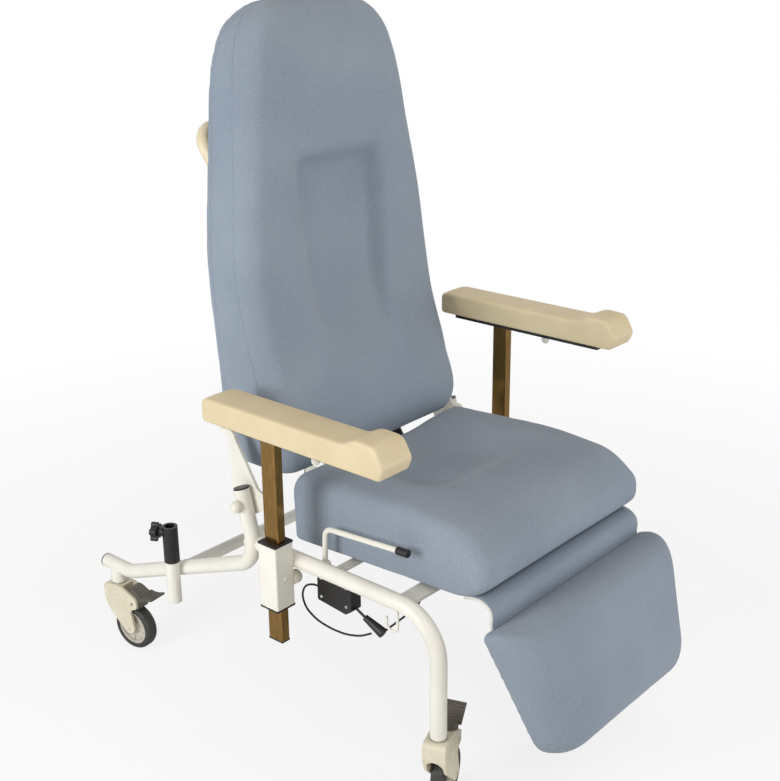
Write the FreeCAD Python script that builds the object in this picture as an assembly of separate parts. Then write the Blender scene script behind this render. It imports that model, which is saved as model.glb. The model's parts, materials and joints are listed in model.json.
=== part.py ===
import FreeCAD, Part
import math
import os

# Rest armchair on casters, in millimetres: reclining back, linked legrest, height-adjustable armrests.
# The chair faces -Y, +X is the sitter's left and +Z is up from the floor. Places along Y are written
# from a datum near the sitter's hips, and everything is moved at the end so that the origin is the
# middle of the footprint. Names that end in R or L are the sitter's right and left.

V = FreeCAD.Vector

# Bent tube frame
tube_d = 30
tube_wall = 2
rail_gap = 56
rail_z = 380
leg_y = -259
front_bend = 85
rear_tube_step = 7
stub_lean = 14.6
stub_rise = 28
knee_z = 345
knee_bend = 60
rear_slope = 21.7
rear_low_z = 185
heel_bend = 100
rear_end_y = 655
crossbar_d = 25
crossbar_y = 394
weld_gap = 0.2
plug_flange = 3
plug_depth = 16
plug_play = 0.1

# Casters
caster_height = 150
wheel_r = 50
tyre_width = 28
tyre_depth = 12
wheel_hub_r = 13
wheel_dish = 5
trail = 40
fork_width = 42
fork_wall = 5.5
wheel_play = 4
stem_flange = 3
stem_plug = 18
swivel_pin_r = 6
swivel_pin_length = 34
axle_r = 4
rear_caster_y = 620
boss_r = 16
running_fit = 0.05
swivel_gap = 0.3
pedal_pin_x = 52
pedal_pin_z = 114
pedal_pin_r = 3
pedal_side_gap = 0.5
pedal_reach = 60
pedal_crown = 34
pedal_dip = 19
pedal_tip_rise = 28
pedal_plate = 5
pedal_flare = 20
pedal_swing = 22
shoe_gap = 1
fork_nose = 26
fork_hub_r = 15
fork_lobe = 13
fork_web = 4
fork_chin = 61
fork_cheek = 35
fork_rounds = [10, 8, 8, 6, 10, 12, 14, 12, 20, 20]
pedal_slot = 28
pedal_heel = 4
pedal_wing = 9
pedal_rounds = [5, 10, 45, 2, 2, 40, 5, 2, 3, 5]
rim_inset = 2
wheel_draft = 2
hub_proud = 1
tyre_edge_r = 7.7

# Backrest pivot, legrest pivot and the bars that join them
pivot_y = 201
pivot_z = 457
recline_range = 55
pivot_bolt_r = 6
legrest_pivot_y = -298
legrest_pivot_z = 372
crank_length = 120
crank_pin_r = 5
link_height = 18
link_thick = 8
open_pivot_play = 0.3
side_play = 0.5
plate_thick = 6

# Gas spring
gas_x = 151
gas_top_y = 243
gas_top_z = 473
gas_foot_y = 150
gas_foot_z = 335
gas_body_r = 14
gas_rod_r = 5
gas_pin_r = 4
gas_neck = 18
gas_body_length = 92
gas_rod_inside = 30
gas_bore_depth = 80
gas_eye_width = 12
gas_top_eye_r = 12
gas_foot_eye_r = 10
gas_eye_play = 2.9

# Seat
seat_tilt = 2.5
seat_plane_z = 381
seat_half_width = 248
seat_rear_y = 138
seat_front_y = -318
seat_top_z = 522
seat_edge_r = 16
seat_rear_drop = 4
seat_crown_run = 188
seat_brow_run = 56
seat_brow_drop = 22
seat_nose_drop = 45
seat_chin_run = 34
seat_chin_rise = 22
seat_rounds = [22, 32, 300, 70, 40, 25, 24]
dish_y = 5
dish_depth = 26
dish_half_width = 190
board_thick = 12
board_inset = 18
board_rear_gap = 4
soft_gap = 0.3
bar_thick = 6
front_bar_y = -175
front_bar_width = 38
rear_bar_y = -3
rear_bar_width = 20
bearer_x = 150
bearer_width = 30
bearer_front_y = -262
bearer_rear_y = 125

# Backrest
frame_depth = 40
back_bottom_z = 497
back_waist_z = 930
back_frame_top_z = 1330
head_z = 1250
back_bottom_rear_y = 314
back_waist_rear_y = 350
back_top_rear_y = 348
back_top_z = 1345
board_side_inset = 3
head_taper = 44
head_corner = 95
shoulder_height = 370
shoulder_r = 300
frame_foot_corner = 10
frame_edge_r = 4
frame_top_r = 14
side_spacer_r = 10
spacer_rise = 148
plate_tab = 42
plate_boss_r = 24
plate_arm_y = 47
plate_arm_z = 118
plate_arm_r = 9.5
plate_rounds = [8, 10, 20, 20, 16, 4, 4, 12]
bracket_half = 32
bracket_margin = 6
crank_root = 22
crank_root_r = 15
gas_lug_r = 11
gas_root = 12
gas_pad_reach = 18
handle_d = 28
handle_half_span = 196
handle_foot_z = 1040
handle_bar_y = 408
handle_bar_z = 1115
handle_bend = 40
# Sections of the back: height above its bottom edge, half width beyond the seat's, depth from the rear
# face and corner radius; then those of the head end, without their heights.
back_sections = [(0, -6, 158, 24), (28, 4, 175, 32), (143, 8, 166, 36), (263, 10, 139, 36),
                 (353, 10, 129, 34), (483, -3, 124, 30), (613, -28, 111, 26)]
head_sections = [(-62, 98, 22), (-91, 83, 15), (-133, 69, 8)]
head_round = 30
# Hollow for the sitter's back, laid along the front between two of the sections
hollow_sections = (3, 5)
hollow_foot = -45
hollow_length = 365
hollow_foot_half = 88
hollow_head_half = 124
hollow_depth = 26
hollow_slope = 22
hollow_corner = 50

# Legrest
legrest_top_y = -310
legrest_top_z = 347
legrest_angle = 69
legrest_length = 255
legrest_thick = 85
legrest_top_half = 252
legrest_foot_half = 202
legrest_top_corner = 40
legrest_foot_corner = 62
legrest_edge_r = 26
legrest_board_inset = 6
legrest_clear = 2
arm_x = 164
arm_reach = 120
arm_root = 20
arm_r = 9
arm_eye_r = 14
leg_crank_drop = 46
leg_crank_r = 16
leg_foot_half = 28
leg_foot_high = 10
leg_foot_low = 85
flap_inset = 12
flap_bulge = 23
flap_thick = 2.5

# Armrests
socket_side = 45
socket_wall = 2
socket_corner = 3
socket_y = 90
socket_low_z = 295
socket_high_z = 428
guide_flange = 4
guide_depth = 30
guide_play = 0.3
post_deep = 35
post_wide = 20
post_wall = 2
post_corner = 2.5
post_low_z = 228
pad_low_z = 636
left_armrest_rise = 46
pad_half_width = 38
pad_rear_y = 227
pad_front_y = -205
pad_thick = 44
pad_hump = 58
pad_edge_r = 8
pad_rear_drop = 4
pad_dip_run = 100
pad_crest_run = 56
pad_brow_run = 16
pad_brow_drop = 3
pad_chin_run = 10
pad_chin_rise = 22
pad_rounds = [10, 16, 70, 45, 18, 14, 10]
arm_plate_thick = 6
arm_plate_outer = 25
arm_plate_inner = 34
arm_plate_rear_y = 190
arm_plate_front_y = -165
pad_bolt_y = -20
pad_bolt_r = 8
pad_bolt_drop = 24
knob_y = 78
knob_z = 345
knob_r = 12
knob_length = 20
knob_screw_r = 4
grip_edge_r = 2

# Pole holder on the right rear tube
holder_d = 28
holder_wall = 3
holder_low_z = 193
holder_high_z = 283
clamp_d = 31
clamp_top_z = 360
pole_bore_r = 10.2
clamp_knob_z = 346
clamp_turn = 30
clamp_boss = 8
clamp_boss_r = 9
star_r = 20
star_lobe_r = 6
star_lobes = 5
star_thick = 13
clamp_screw_r = 4

# Release lever, release box, cables and bag hook under the right rail
lever_gap = 28
lever_y = 30
lever_z = 372
lever_rod_r = 5
lever_top_z = 447
lever_rise = 13
lever_tip_y = -170
lever_tip_r = 7.5
lever_tip_length = 26
lever_bend = 18
lever_lean = 2.5
lever_eye_r = 10
lever_eye_width = 10
cable_gap = 27
cable_r = 2
box_half_width = 13
hanger_width = 16
box_rear_y = 40
box_front_y = -44
box_low_z = 300
box_high_z = 360
box_rear_lift = 3
box_front_lift = 6
box_chin_run = 14
box_chin_drop = 4
box_corner = 4
pull_rod_lift = 8
# Ends of the cable junction: how far ahead of the release box and below its floor
junction_start = (22, 2)
junction_end = (64, 18)
hook_y = -168
hook_gap = 25
hook_low_z = 318
hook_tip_z = 342
hook_r = 2.5


def box(x0, x1, y0, y1, z0, z1):
    return Part.makeBox(x1 - x0, y1 - y0, z1 - z0, V(x0, y0, z0))


def bar(start, end, radius):
    """Round bar between two points."""
    return Part.makeCylinder(radius, (end - start).Length, start, end - start)


def cross_pin(x0, x1, point, radius):
    """Round bar along X through a (y, z) point."""
    return bar(V(x0, *point), V(x1, *point), radius)


def mirrored(shape):
    return shape.mirror(V(0, 0, 0), V(1, 0, 0))


def both_sides(shape):
    return Part.makeCompound([shape, mirrored(shape)])


def rounded_wire(points, radii, closed=True):
    """Straight runs through the points, joined by tangent arcs of the given radii."""
    last = len(points) - 1
    corners = []
    for i, point in enumerate(points):
        if radii[i] == 0 or (not closed and i in (0, last)):
            corners.append((point, None, point))
            continue
        back = (points[i - 1] - point).normalize()
        ahead = (points[(i + 1) % len(points)] - point).normalize()
        half = back.getAngle(ahead) / 2
        reach = radii[i] / math.tan(half)
        middle = (back + ahead).normalize() * (radii[i] / math.sin(half) - radii[i])
        corners.append((point + back * reach, point + middle, point + ahead * reach))
    edges = []
    for i, (start, middle, end) in enumerate(corners):
        if middle:
            edges.append(Part.Arc(start, middle, end).toShape())
        following = corners[(i + 1) % len(points)][0]
        if (closed or i < last) and (following - end).Length > 1e-6:
            edges.append(Part.LineSegment(end, following).toShape())
    return Part.Wire(edges)


def pipe(points, radii, radius):
    """Round bar along straight runs and tangent arcs."""
    path = rounded_wire(points, radii, closed=False)
    ring = Part.Wire(Part.makeCircle(radius, points[0], points[1] - points[0]))
    return path.makePipeShell([ring], True, False)


def bent_tube(points, radii, diameter, wall):
    return pipe(points, radii, diameter / 2).cut(pipe(points, radii, diameter / 2 - wall))


def slab_x(outline, radii, x0, x1):
    """Flat plate cut to a rounded (y, z) outline, from x0 to x1."""
    wire = rounded_wire([V(x0, y, z) for y, z in outline], radii)
    return Part.Face(wire).extrude(V(x1 - x0, 0, 0))


def slab_y(outline, radii, y0, y1):
    """Flat plate cut to a rounded (x, z) outline, from y0 to y1."""
    wire = rounded_wire([V(x, y0, z) for x, z in outline], radii)
    return Part.Face(wire).extrude(V(0, y1 - y0, 0))


def strap(first, first_r, second, second_r, x0, x1):
    """Flat bar with round ends about two (y, z) points, from x0 to x1."""
    a = V(x0, *first)
    b = V(x0, *second)
    along = (b - a).normalize()
    side = V(1, 0, 0).cross(along)
    lean = (first_r - second_r) / (b - a).Length
    left = along * lean + side * math.sqrt(1 - lean * lean)
    right = along * lean - side * math.sqrt(1 - lean * lean)
    edges = [Part.LineSegment(a + left * first_r, b + left * second_r).toShape(),
             Part.Arc(b + left * second_r, b + along * second_r, b + right * second_r).toShape(),
             Part.LineSegment(b + right * second_r, a + right * first_r).toShape(),
             Part.Arc(a + right * first_r, a - along * first_r, a + left * first_r).toShape()]
    return Part.Face(Part.Wire(edges)).extrude(V(x1 - x0, 0, 0))


def end_edges(solid, axis, value):
    """Edges that lie in the plane where one coordinate has a value."""
    return [e for e in solid.Edges if all(abs(v.Point[axis] - value) < 1e-4 for v in e.Vertexes)]


def soften(solid, axis, values, radius):
    edges = [e for value in values for e in end_edges(solid, axis, value)]
    return solid.makeFillet(radius, edges)


def tilted(shape):
    """Turn a piece of the seat from level to the seat's tilt, front edge up."""
    turned = shape.copy()
    turned.rotate(V(0, 0, seat_plane_z), V(1, 0, 0), -seat_tilt)
    return turned


def seat_point(y, z):
    """World (y, z) of a point given in the seat's own level frame."""
    angle = math.radians(seat_tilt)
    rise = z - seat_plane_z
    world_y = y * math.cos(angle) + rise * math.sin(angle)
    return world_y, seat_plane_z - y * math.sin(angle) + rise * math.cos(angle)


def hung(shape):
    """Turn and move a piece of the legrest from an upright panel to its rest angle."""
    turned = shape.copy()
    turned.rotate(V(0, 0, 0), V(1, 0, 0), legrest_angle - 90)
    turned.translate(V(0, legrest_top_y, legrest_top_z))
    return turned


# Places that follow from the sizes above
tube_r = tube_d / 2
rail_x = seat_half_width + rail_gap
rear_tube_x = rail_x + rear_tube_step
lever_x = -(seat_half_width + lever_gap)
cable_x = -(seat_half_width + cable_gap)
flap_half_width = legrest_top_half - flap_inset
pivot = (pivot_y, pivot_z)
legrest_pivot = (legrest_pivot_y, legrest_pivot_z)
half_recline = math.radians(recline_range / 2)
crank_y = crank_length * math.sin(half_recline)
crank_z = -crank_length * math.cos(half_recline)
back_crank_pin = (pivot_y + crank_y, pivot_z + crank_z)
leg_crank_pin = (legrest_pivot_y + crank_y, legrest_pivot_z + crank_z)
gas_top = (gas_top_y, gas_top_z)
gas_foot = (gas_foot_y, gas_foot_z)
stub_run = math.tan(math.radians(stub_lean))
knee_y = pivot_y - (pivot_z - knee_z) * stub_run
heel_y = knee_y + (knee_z - rear_low_z) / math.tan(math.radians(rear_slope))
crossbar_z = knee_z - (crossbar_y - knee_y) * math.tan(math.radians(rear_slope))
stub_top = V(rear_tube_x, pivot_y + stub_rise * stub_run, pivot_z + stub_rise)
socket_x = rail_x + tube_r + weld_gap + socket_side / 2
plate_outer_x = rear_tube_x - tube_r - side_play
plate_inner_x = plate_outer_x - plate_thick
holder_x = -(rear_tube_x + tube_r + weld_gap + holder_d / 2)
clamp_out = V(-math.sin(math.radians(clamp_turn)), math.cos(math.radians(clamp_turn)), 0)
clamp_axis = V(holder_x, crossbar_y, clamp_knob_z)
lever_eye = (lever_y, lever_z)
pedal_pin = (pedal_pin_x, pedal_pin_z)
caster_places = {
    "front_R": (V(-rail_x, leg_y, 0), 20),
    "front_L": (V(rail_x, leg_y, 0), 150),
    "rear_R": (V(-rear_tube_x, rear_caster_y, 0), -82),
    "rear_L": (V(rear_tube_x, rear_caster_y, 0), -75),
}

unlocked_casters = ("front_R", "front_L")


# Frame

def rear_tube_line():
    corner_knee = V(rear_tube_x, knee_y, knee_z)
    corner_heel = V(rear_tube_x, heel_y, rear_low_z)
    return [stub_top, corner_knee, corner_heel, V(rear_tube_x, rear_end_y, rear_low_z)]


def rear_frame_tubes():
    points = rear_tube_line()
    radii = [0, knee_bend, heel_bend, 0]
    foot = V(rear_tube_x, rear_caster_y, caster_height)
    boss = bar(foot, foot + V(0, 0, rear_low_z - caster_height), boss_r)
    tube = pipe(points, radii, tube_r).fuse(boss).cut(pipe(points, radii, tube_r - tube_wall))
    tube = tube.cut(bar(foot, foot + V(0, 0, stem_plug), tube_r - tube_wall))
    tube = tube.cut(cross_pin(rear_tube_x - tube_d, rear_tube_x + tube_d, pivot, pivot_bolt_r + plug_play))
    return both_sides(tube)


def front_tube_line():
    return [V(rail_x, leg_y, caster_height), V(rail_x, leg_y, rail_z), V(rail_x, pivot_y, rail_z)]


def front_frame_tubes():
    tube = bent_tube(front_tube_line(), [0, front_bend, 0], tube_d, tube_wall)
    tube = tube.cut(pipe(rear_tube_line(), [0, knee_bend, heel_bend, 0], tube_r + weld_gap))
    tube = sorted(tube.Solids, key=lambda s: s.Volume)[-1]
    right = mirrored(tube)
    stud_end = lever_x + lever_eye_width / 2 + side_play + plug_flange
    stud = cross_pin(-rail_x, stud_end, lever_eye, lever_rod_r)
    head = cross_pin(stud_end - plug_flange, stud_end, lever_eye, lever_tip_r)
    core = mirrored(pipe(front_tube_line(), [0, front_bend, 0], tube_r - tube_wall))
    return Part.makeCompound([right.fuse(stud.cut(core)).fuse(head), tube])


def rear_crossbar():
    level = (crossbar_y, crossbar_z)
    radius = crossbar_d / 2
    tube = cross_pin(-rear_tube_x, rear_tube_x, level, radius)
    tube = tube.cut(cross_pin(-rear_tube_x, rear_tube_x, level, radius - tube_wall))
    for side in (1, -1):
        line = [V(side * p.x, p.y, p.z) for p in rear_tube_line()]
        tube = tube.cut(pipe(line, [0, knee_bend, heel_bend, 0], tube_r + weld_gap))
    return sorted(tube.Solids, key=lambda s: s.Volume)[-1]


def plug(mouth, outward, radius, bore_r):
    flange = bar(mouth, mouth + outward * plug_flange, radius)
    return flange.fuse(bar(mouth, mouth - outward * plug_depth, bore_r - plug_play))


def tube_plugs():
    up = V(0, stub_run, 1).normalize()
    bore_r = tube_r - tube_wall
    top = plug(stub_top, up, tube_r, bore_r)
    back = plug(V(rear_tube_x, rear_end_y, rear_low_z), V(0, 1, 0), tube_r, bore_r)
    return Part.makeCompound([top, back, mirrored(top), mirrored(back)])


def seat_frame():
    below = seat_plane_z - bar_thick
    reach = rail_x + tube_r
    pieces = []
    for y, width in ((front_bar_y, front_bar_width), (rear_bar_y, rear_bar_width)):
        cross = tilted(box(-reach, reach, y - width / 2, y + width / 2, below - bar_thick, below))
        for side in (1, -1):
            rail = rail_run(side * rail_x, tube_r + weld_gap)
            cross = sorted(cross.cut(rail).Solids, key=lambda s: s.Volume)[-1]
        pieces.append(cross)
    above = tilted(box(-reach, reach, seat_front_y, seat_rear_y * 2, below, seat_top_z))
    for side in (1, -1):
        inner = side * bearer_x - bearer_width / 2
        bearer = box(inner, inner + bearer_width, bearer_front_y, bearer_rear_y, below, seat_plane_z)
        pieces.append(tilted(bearer))
        lug_x = side * (arm_x - plate_thick - side_play)
        anchor = (bearer_front_y + bearer_width, seat_plane_z)
        lug_r = bearer_width / 2
        lug = strap(legrest_pivot, lug_r, anchor, lug_r, lug_x, lug_x - side * plate_thick)
        lug = lug.cut(cross_pin(-reach, reach, legrest_pivot, crank_pin_r + plug_play))
        pieces.append(lug.cut(above))
    pieces.append(gas_foot_lug().cut(above))
    return Part.makeCompound(pieces)


def rail_run(x, radius):
    """The side rail's straight run as a round bar, for coping what meets it."""
    return bar(V(x, seat_front_y, rail_z), V(x, pivot_y, rail_z), radius)


def gas_foot_lug():
    face = gas_x - gas_eye_width / 2 - side_play
    anchor = (bearer_rear_y - bearer_width / 2, seat_plane_z - bar_thick)
    lug = strap(gas_foot, gas_top_eye_r, anchor, gas_body_r, face - plate_thick, face)
    end = gas_x + gas_eye_width / 2 + side_play
    pin = cross_pin(face, end + plug_flange, gas_foot, gas_pin_r)
    return lug.fuse(pin).fuse(cross_pin(end, end + plug_flange, gas_foot, gas_pin_r * 2))


# Seat

def seat_board():
    half = seat_half_width - board_inset
    board = box(-half, half, bearer_front_y, seat_rear_y - board_rear_gap,
                seat_plane_z, seat_plane_z + board_thick)
    return tilted(board)


def seat_cushion():
    low = seat_plane_z + board_thick + soft_gap
    brow_z = seat_top_z - seat_brow_drop
    outline = [(seat_rear_y, low), (seat_rear_y, seat_top_z - seat_rear_drop),
               (seat_front_y + seat_crown_run, seat_top_z), (seat_front_y + seat_brow_run, brow_z),
               (seat_front_y, brow_z - seat_nose_drop), (seat_front_y, low + seat_chin_rise),
               (seat_front_y + seat_chin_run, low)]
    solid = slab_x(outline, seat_rounds, -seat_half_width, seat_half_width)
    solid = soften(solid, 0, (-seat_half_width, seat_half_width), seat_edge_r)
    dish_r = (dish_half_width ** 2 + dish_depth ** 2) / (2 * dish_depth)
    dish = Part.makeSphere(dish_r, V(0, dish_y, seat_top_z - dish_depth + dish_r))
    return tilted(solid.cut(dish))


# Backrest, on the pivot bolts

def back_rear_y(z):
    """The back face of the backrest at a height."""
    if z < back_waist_z:
        share = (z - back_bottom_z) / (back_waist_z - back_bottom_z)
        return back_bottom_rear_y + share * (back_waist_rear_y - back_bottom_rear_y)
    share = (z - back_waist_z) / (back_frame_top_z - back_waist_z)
    return back_waist_rear_y + share * (back_top_rear_y - back_waist_rear_y)


def back_section(z, flare, depth, radius):
    rear_y = back_rear_y(min(z, back_frame_top_z))
    inner_y = rear_y - frame_depth - 4 * soft_gap
    half = seat_half_width + flare
    corners = [(-half, rear_y - depth), (half, rear_y - depth), (half, inner_y), (-half, inner_y)]
    return rounded_wire([V(x, y, z) for x, y in corners], [radius] * 4)


def back_hollow():
    """Shallow tray with sloping walls, to be taken out of the back's front."""
    ends = []
    for height, flare, depth, radius in (back_sections[i] for i in hollow_sections):
        z = back_bottom_z + height
        ends.append(V(0, back_rear_y(z) - depth, z))
    up = (ends[1] - ends[0]).normalize()
    inward = up.cross(V(1, 0, 0))
    wires = []
    for step in (-1, 1):
        slope = step * hollow_slope
        foot, head = hollow_foot + slope, hollow_foot + hollow_length - slope
        right = [(hollow_foot_half - slope, foot), (hollow_head_half - slope, head)]
        corners = right + [(-x, rise) for x, rise in reversed(right)]
        floor = ends[0] + inward * step * hollow_depth
        points = [floor + V(x, 0, 0) + up * rise for x, rise in corners]
        wires.append(rounded_wire(points, [hollow_corner - slope] * 4))
    return Part.makeLoft(wires, True, True)


def backrest_cushion():
    stations = [(back_bottom_z + height, shape) for height, *shape in back_sections]
    stations += zip((head_z, back_top_z - head_round, back_top_z), head_sections)
    cushion = Part.makeLoft([back_section(z, *shape) for z, shape in stations], True, False)
    return cushion.cut(back_hollow())


def backrest_board():
    """Upholstered frame: it follows the back's rear line and narrows towards the head."""
    heights = [back_bottom_z, back_waist_z, back_frame_top_z]
    rear = [(back_rear_y(z), z) for z in heights]
    front = [(y - frame_depth, z) for y, z in reversed(rear)]
    rounds = [frame_edge_r, shoulder_r, frame_top_r, frame_edge_r, shoulder_r, frame_edge_r]
    panel = slab_x(rear + front, rounds, -seat_half_width, seat_half_width)
    half = seat_half_width - board_side_inset
    head = half - head_taper
    shoulder_z = back_bottom_z + shoulder_height
    outline = [(-half, back_bottom_z), (half, back_bottom_z), (half, shoulder_z), (head, back_frame_top_z),
               (-head, back_frame_top_z), (-half, shoulder_z)]
    depth = [back_bottom_rear_y - 2 * frame_depth, back_waist_rear_y + frame_depth]
    corners = [frame_foot_corner, frame_foot_corner, shoulder_r, head_corner, head_corner, shoulder_r]
    return panel.common(slab_y(outline, corners, *depth))


def backrest_plates():
    """Tapered side plate: a tab ahead of the pivot, a boss round it, an arm up to spacers on the frame."""
    y, z = pivot
    arm = (y + plate_arm_y, z + plate_arm_z)
    outline = [(y - plate_tab, z + plate_boss_r * 0.8), (y - plate_tab, z - plate_boss_r * 0.2),
               (y - plate_boss_r / 2, z - plate_boss_r), (y + plate_boss_r, z - plate_boss_r),
               (y + 2 * plate_boss_r, z + plate_boss_r / 2), (arm[0] + plate_arm_r, arm[1]),
               (arm[0] - plate_arm_r, arm[1]), (y - plate_boss_r * 0.8, z + plate_boss_r * 1.1)]
    plate = slab_x(outline, plate_rounds, plate_inner_x, plate_outer_x)
    spacer_z = z + spacer_rise
    spacer_y = back_rear_y(spacer_z) - frame_depth / 2
    spacers = [(spacer_y - side_spacer_r, spacer_z), (spacer_y + side_spacer_r, spacer_z)]
    eye_r = plate_arm_r * 1.3
    plate = plate.fuse(strap(arm, plate_arm_r, spacers[0], eye_r, plate_inner_x, plate_outer_x))
    plate = plate.fuse(strap(spacers[0], eye_r, spacers[1], eye_r, plate_inner_x, plate_outer_x))
    side = seat_half_width - board_side_inset + weld_gap
    for point in spacers:
        plate = plate.fuse(cross_pin(side, plate_inner_x, point, side_spacer_r * 0.7))
    plate = plate.removeSplitter()
    return both_sides(plate.cut(cross_pin(0, rear_tube_x, pivot, pivot_bolt_r + running_fit)))


def crank_plate(pin_point, anchor, anchor_r):
    """Plate with a headed pin for one end of the link rod."""
    face = -link_thick / 2 - side_play
    plate = strap(pin_point, crank_pin_r * 2.4, anchor, anchor_r, face - plate_thick, face)
    end = link_thick / 2 + side_play
    pin = cross_pin(face, end + plug_flange, pin_point, crank_pin_r)
    head = cross_pin(end, end + plug_flange, pin_point, crank_pin_r * 1.6)
    return plate.fuse(pin).fuse(head)


def backrest_brackets():
    under = back_bottom_z - weld_gap
    near = back_bottom_rear_y - frame_depth + bracket_margin
    far = back_bottom_rear_y - bracket_margin
    mid = (near + far) / 2
    foot = box(-bracket_half, bracket_half, near, far, under - bar_thick, under)
    crank = crank_plate(back_crank_pin, (mid, under - crank_root), crank_root_r)
    crank = crank.fuse(foot)
    face = gas_x - gas_eye_width / 2 - side_play
    end = gas_x + gas_eye_width / 2 + side_play
    lug = strap(gas_top, gas_lug_r, (mid, under - gas_root), gas_root, face - plate_thick, face)
    pin = cross_pin(face, end + plug_flange, gas_top, gas_pin_r)
    head = cross_pin(end, end + plug_flange, gas_top, gas_eye_play + gas_pin_r * 2)
    pad = box(face - plate_thick, end + gas_pad_reach, near, far, under - bar_thick, under)
    return Part.makeCompound([crank, lug.fuse(pin).fuse(head).fuse(pad)])


def push_handle():
    foot_y = back_rear_y(handle_foot_z) + weld_gap
    line = []
    for side in (-1, 1):
        foot = V(side * handle_half_span, foot_y, handle_foot_z)
        corner = V(side * handle_half_span, handle_bar_y, handle_bar_z)
        leg = [foot - (corner - foot).normalize() * 2 * handle_d, corner]
        line += leg if side < 0 else leg[::-1]
    bow = bent_tube(line, [0, handle_bend, handle_bend, 0], handle_d, tube_wall)
    wall = box(-rail_x, rail_x, foot_y - rail_x, foot_y, handle_foot_z - rail_x, handle_bar_z)
    return sorted(bow.cut(wall).Solids, key=lambda s: s.Volume)[-1]


# Legrest, on its own pivot

def legrest_outline(inset):
    top = legrest_top_half - inset
    foot = legrest_foot_half - inset
    low = inset - legrest_length
    points = [(-top, -inset), (top, -inset), (foot, low), (-foot, low)]
    return points, [legrest_top_corner, legrest_top_corner, legrest_foot_corner, legrest_foot_corner]


def legrest_cushion():
    points, radii = legrest_outline(0)
    solid = slab_y(points, radii, -legrest_thick, -board_thick - soft_gap)
    return hung(soften(solid, 1, (-legrest_thick,), legrest_edge_r))


def legrest_board():
    points, radii = legrest_outline(legrest_board_inset)
    return hung(slab_y(points, radii, -board_thick, 0))


def legrest_point(behind, down):
    """World (y, z) of a point behind the legrest's back face and down from its top edge."""
    angle = math.radians(legrest_angle)
    y = legrest_top_y + behind * math.sin(angle) - down * math.cos(angle)
    z = legrest_top_z - behind * math.cos(angle) - down * math.sin(angle)
    return y, z


def legrest_arms():
    panel = hung(box(-legrest_top_half, legrest_top_half, -2 * legrest_thick, weld_gap,
                     -legrest_length, legrest_clear))
    heel = legrest_point(arm_r, arm_reach)
    root = legrest_point(arm_r, arm_root)
    arm = strap(legrest_pivot, arm_eye_r, heel, arm_r, arm_x - plate_thick, arm_x)
    arm = arm.fuse(strap(root, arm_r, heel, arm_r, arm_x - plate_thick, arm_x)).removeSplitter()
    arm = arm.cut(cross_pin(0, rail_x, legrest_pivot, crank_pin_r + running_fit)).cut(panel)
    crank = crank_plate(leg_crank_pin, legrest_point(arm_eye_r, leg_crank_drop), leg_crank_r)
    foot = hung(box(-leg_foot_half, leg_foot_half, weld_gap, weld_gap + bar_thick,
                    -leg_foot_low, -leg_foot_high))
    arm = sorted(arm.Solids, key=lambda s: s.Volume)[-1]
    return Part.makeCompound([arm, mirrored(arm), crank.fuse(foot).cut(panel)])


def flap():
    """Upholstery strip that bridges the seat front and the legrest, open behind."""
    top = V(-flap_half_width, *seat_point(bearer_front_y - soft_gap, seat_plane_z + board_thick / 2))
    bulge = V(-flap_half_width, legrest_pivot_y - flap_bulge, legrest_pivot_z + flap_bulge / 2)
    foot = V(-flap_half_width, *legrest_point(-board_thick - 2 * flap_thick, -2 * soft_gap))
    outer = Part.Arc(top, bulge, foot).toShape()
    centre = outer.Curve.Center
    inner = [p + (centre - p).normalize() * flap_thick for p in (foot, bulge, top)]
    edges = [outer, Part.LineSegment(foot, inner[0]).toShape(),
             Part.Arc(*inner).toShape(), Part.LineSegment(inner[2], top).toShape()]
    return Part.Face(Part.Wire(edges)).extrude(V(2 * flap_half_width, 0, 0))


# Linkage between backrest and legrest, gas spring, pins

def link_rod():
    x0, x1 = -link_thick / 2, link_thick / 2
    half = link_height / 2
    rod = strap(back_crank_pin, half, leg_crank_pin, half, x0, x1)
    for point, play in ((back_crank_pin, running_fit), (leg_crank_pin, open_pivot_play)):
        rod = rod.fuse(cross_pin(x0, x1, point, crank_pin_r * 2.2))
        rod = rod.cut(cross_pin(x0, x1, point, crank_pin_r + play))
    return rod


def gas_axis():
    top = V(gas_x, *gas_top)
    foot = V(gas_x, *gas_foot)
    return top, foot, (foot - top).normalize()


def gas_eye(point, radius, hole_r):
    x0 = gas_x - gas_eye_width / 2
    eye = cross_pin(x0, x0 + gas_eye_width, (point.y, point.z), radius)
    return eye, cross_pin(x0, x0 + gas_eye_width, (point.y, point.z), hole_r)


def gas_spring_cylinder():
    top, foot, down = gas_axis()
    start = top + down * gas_neck
    end = start + down * gas_body_length
    eye, hole = gas_eye(top, gas_top_eye_r, gas_pin_r + gas_eye_play)
    body = bar(start, end, gas_body_r).fuse(bar(top, start, gas_eye_width / 2)).fuse(eye)
    body = body.cut(bar(end - down * gas_bore_depth, end, gas_rod_r + running_fit))
    return body.cut(hole)


def gas_spring_rod():
    top, foot, down = gas_axis()
    start = top + down * (gas_neck + gas_body_length - gas_rod_inside)
    eye, hole = gas_eye(foot, gas_foot_eye_r, gas_pin_r + running_fit)
    return bar(start, foot, gas_rod_r).fuse(eye).cut(hole)


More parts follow.
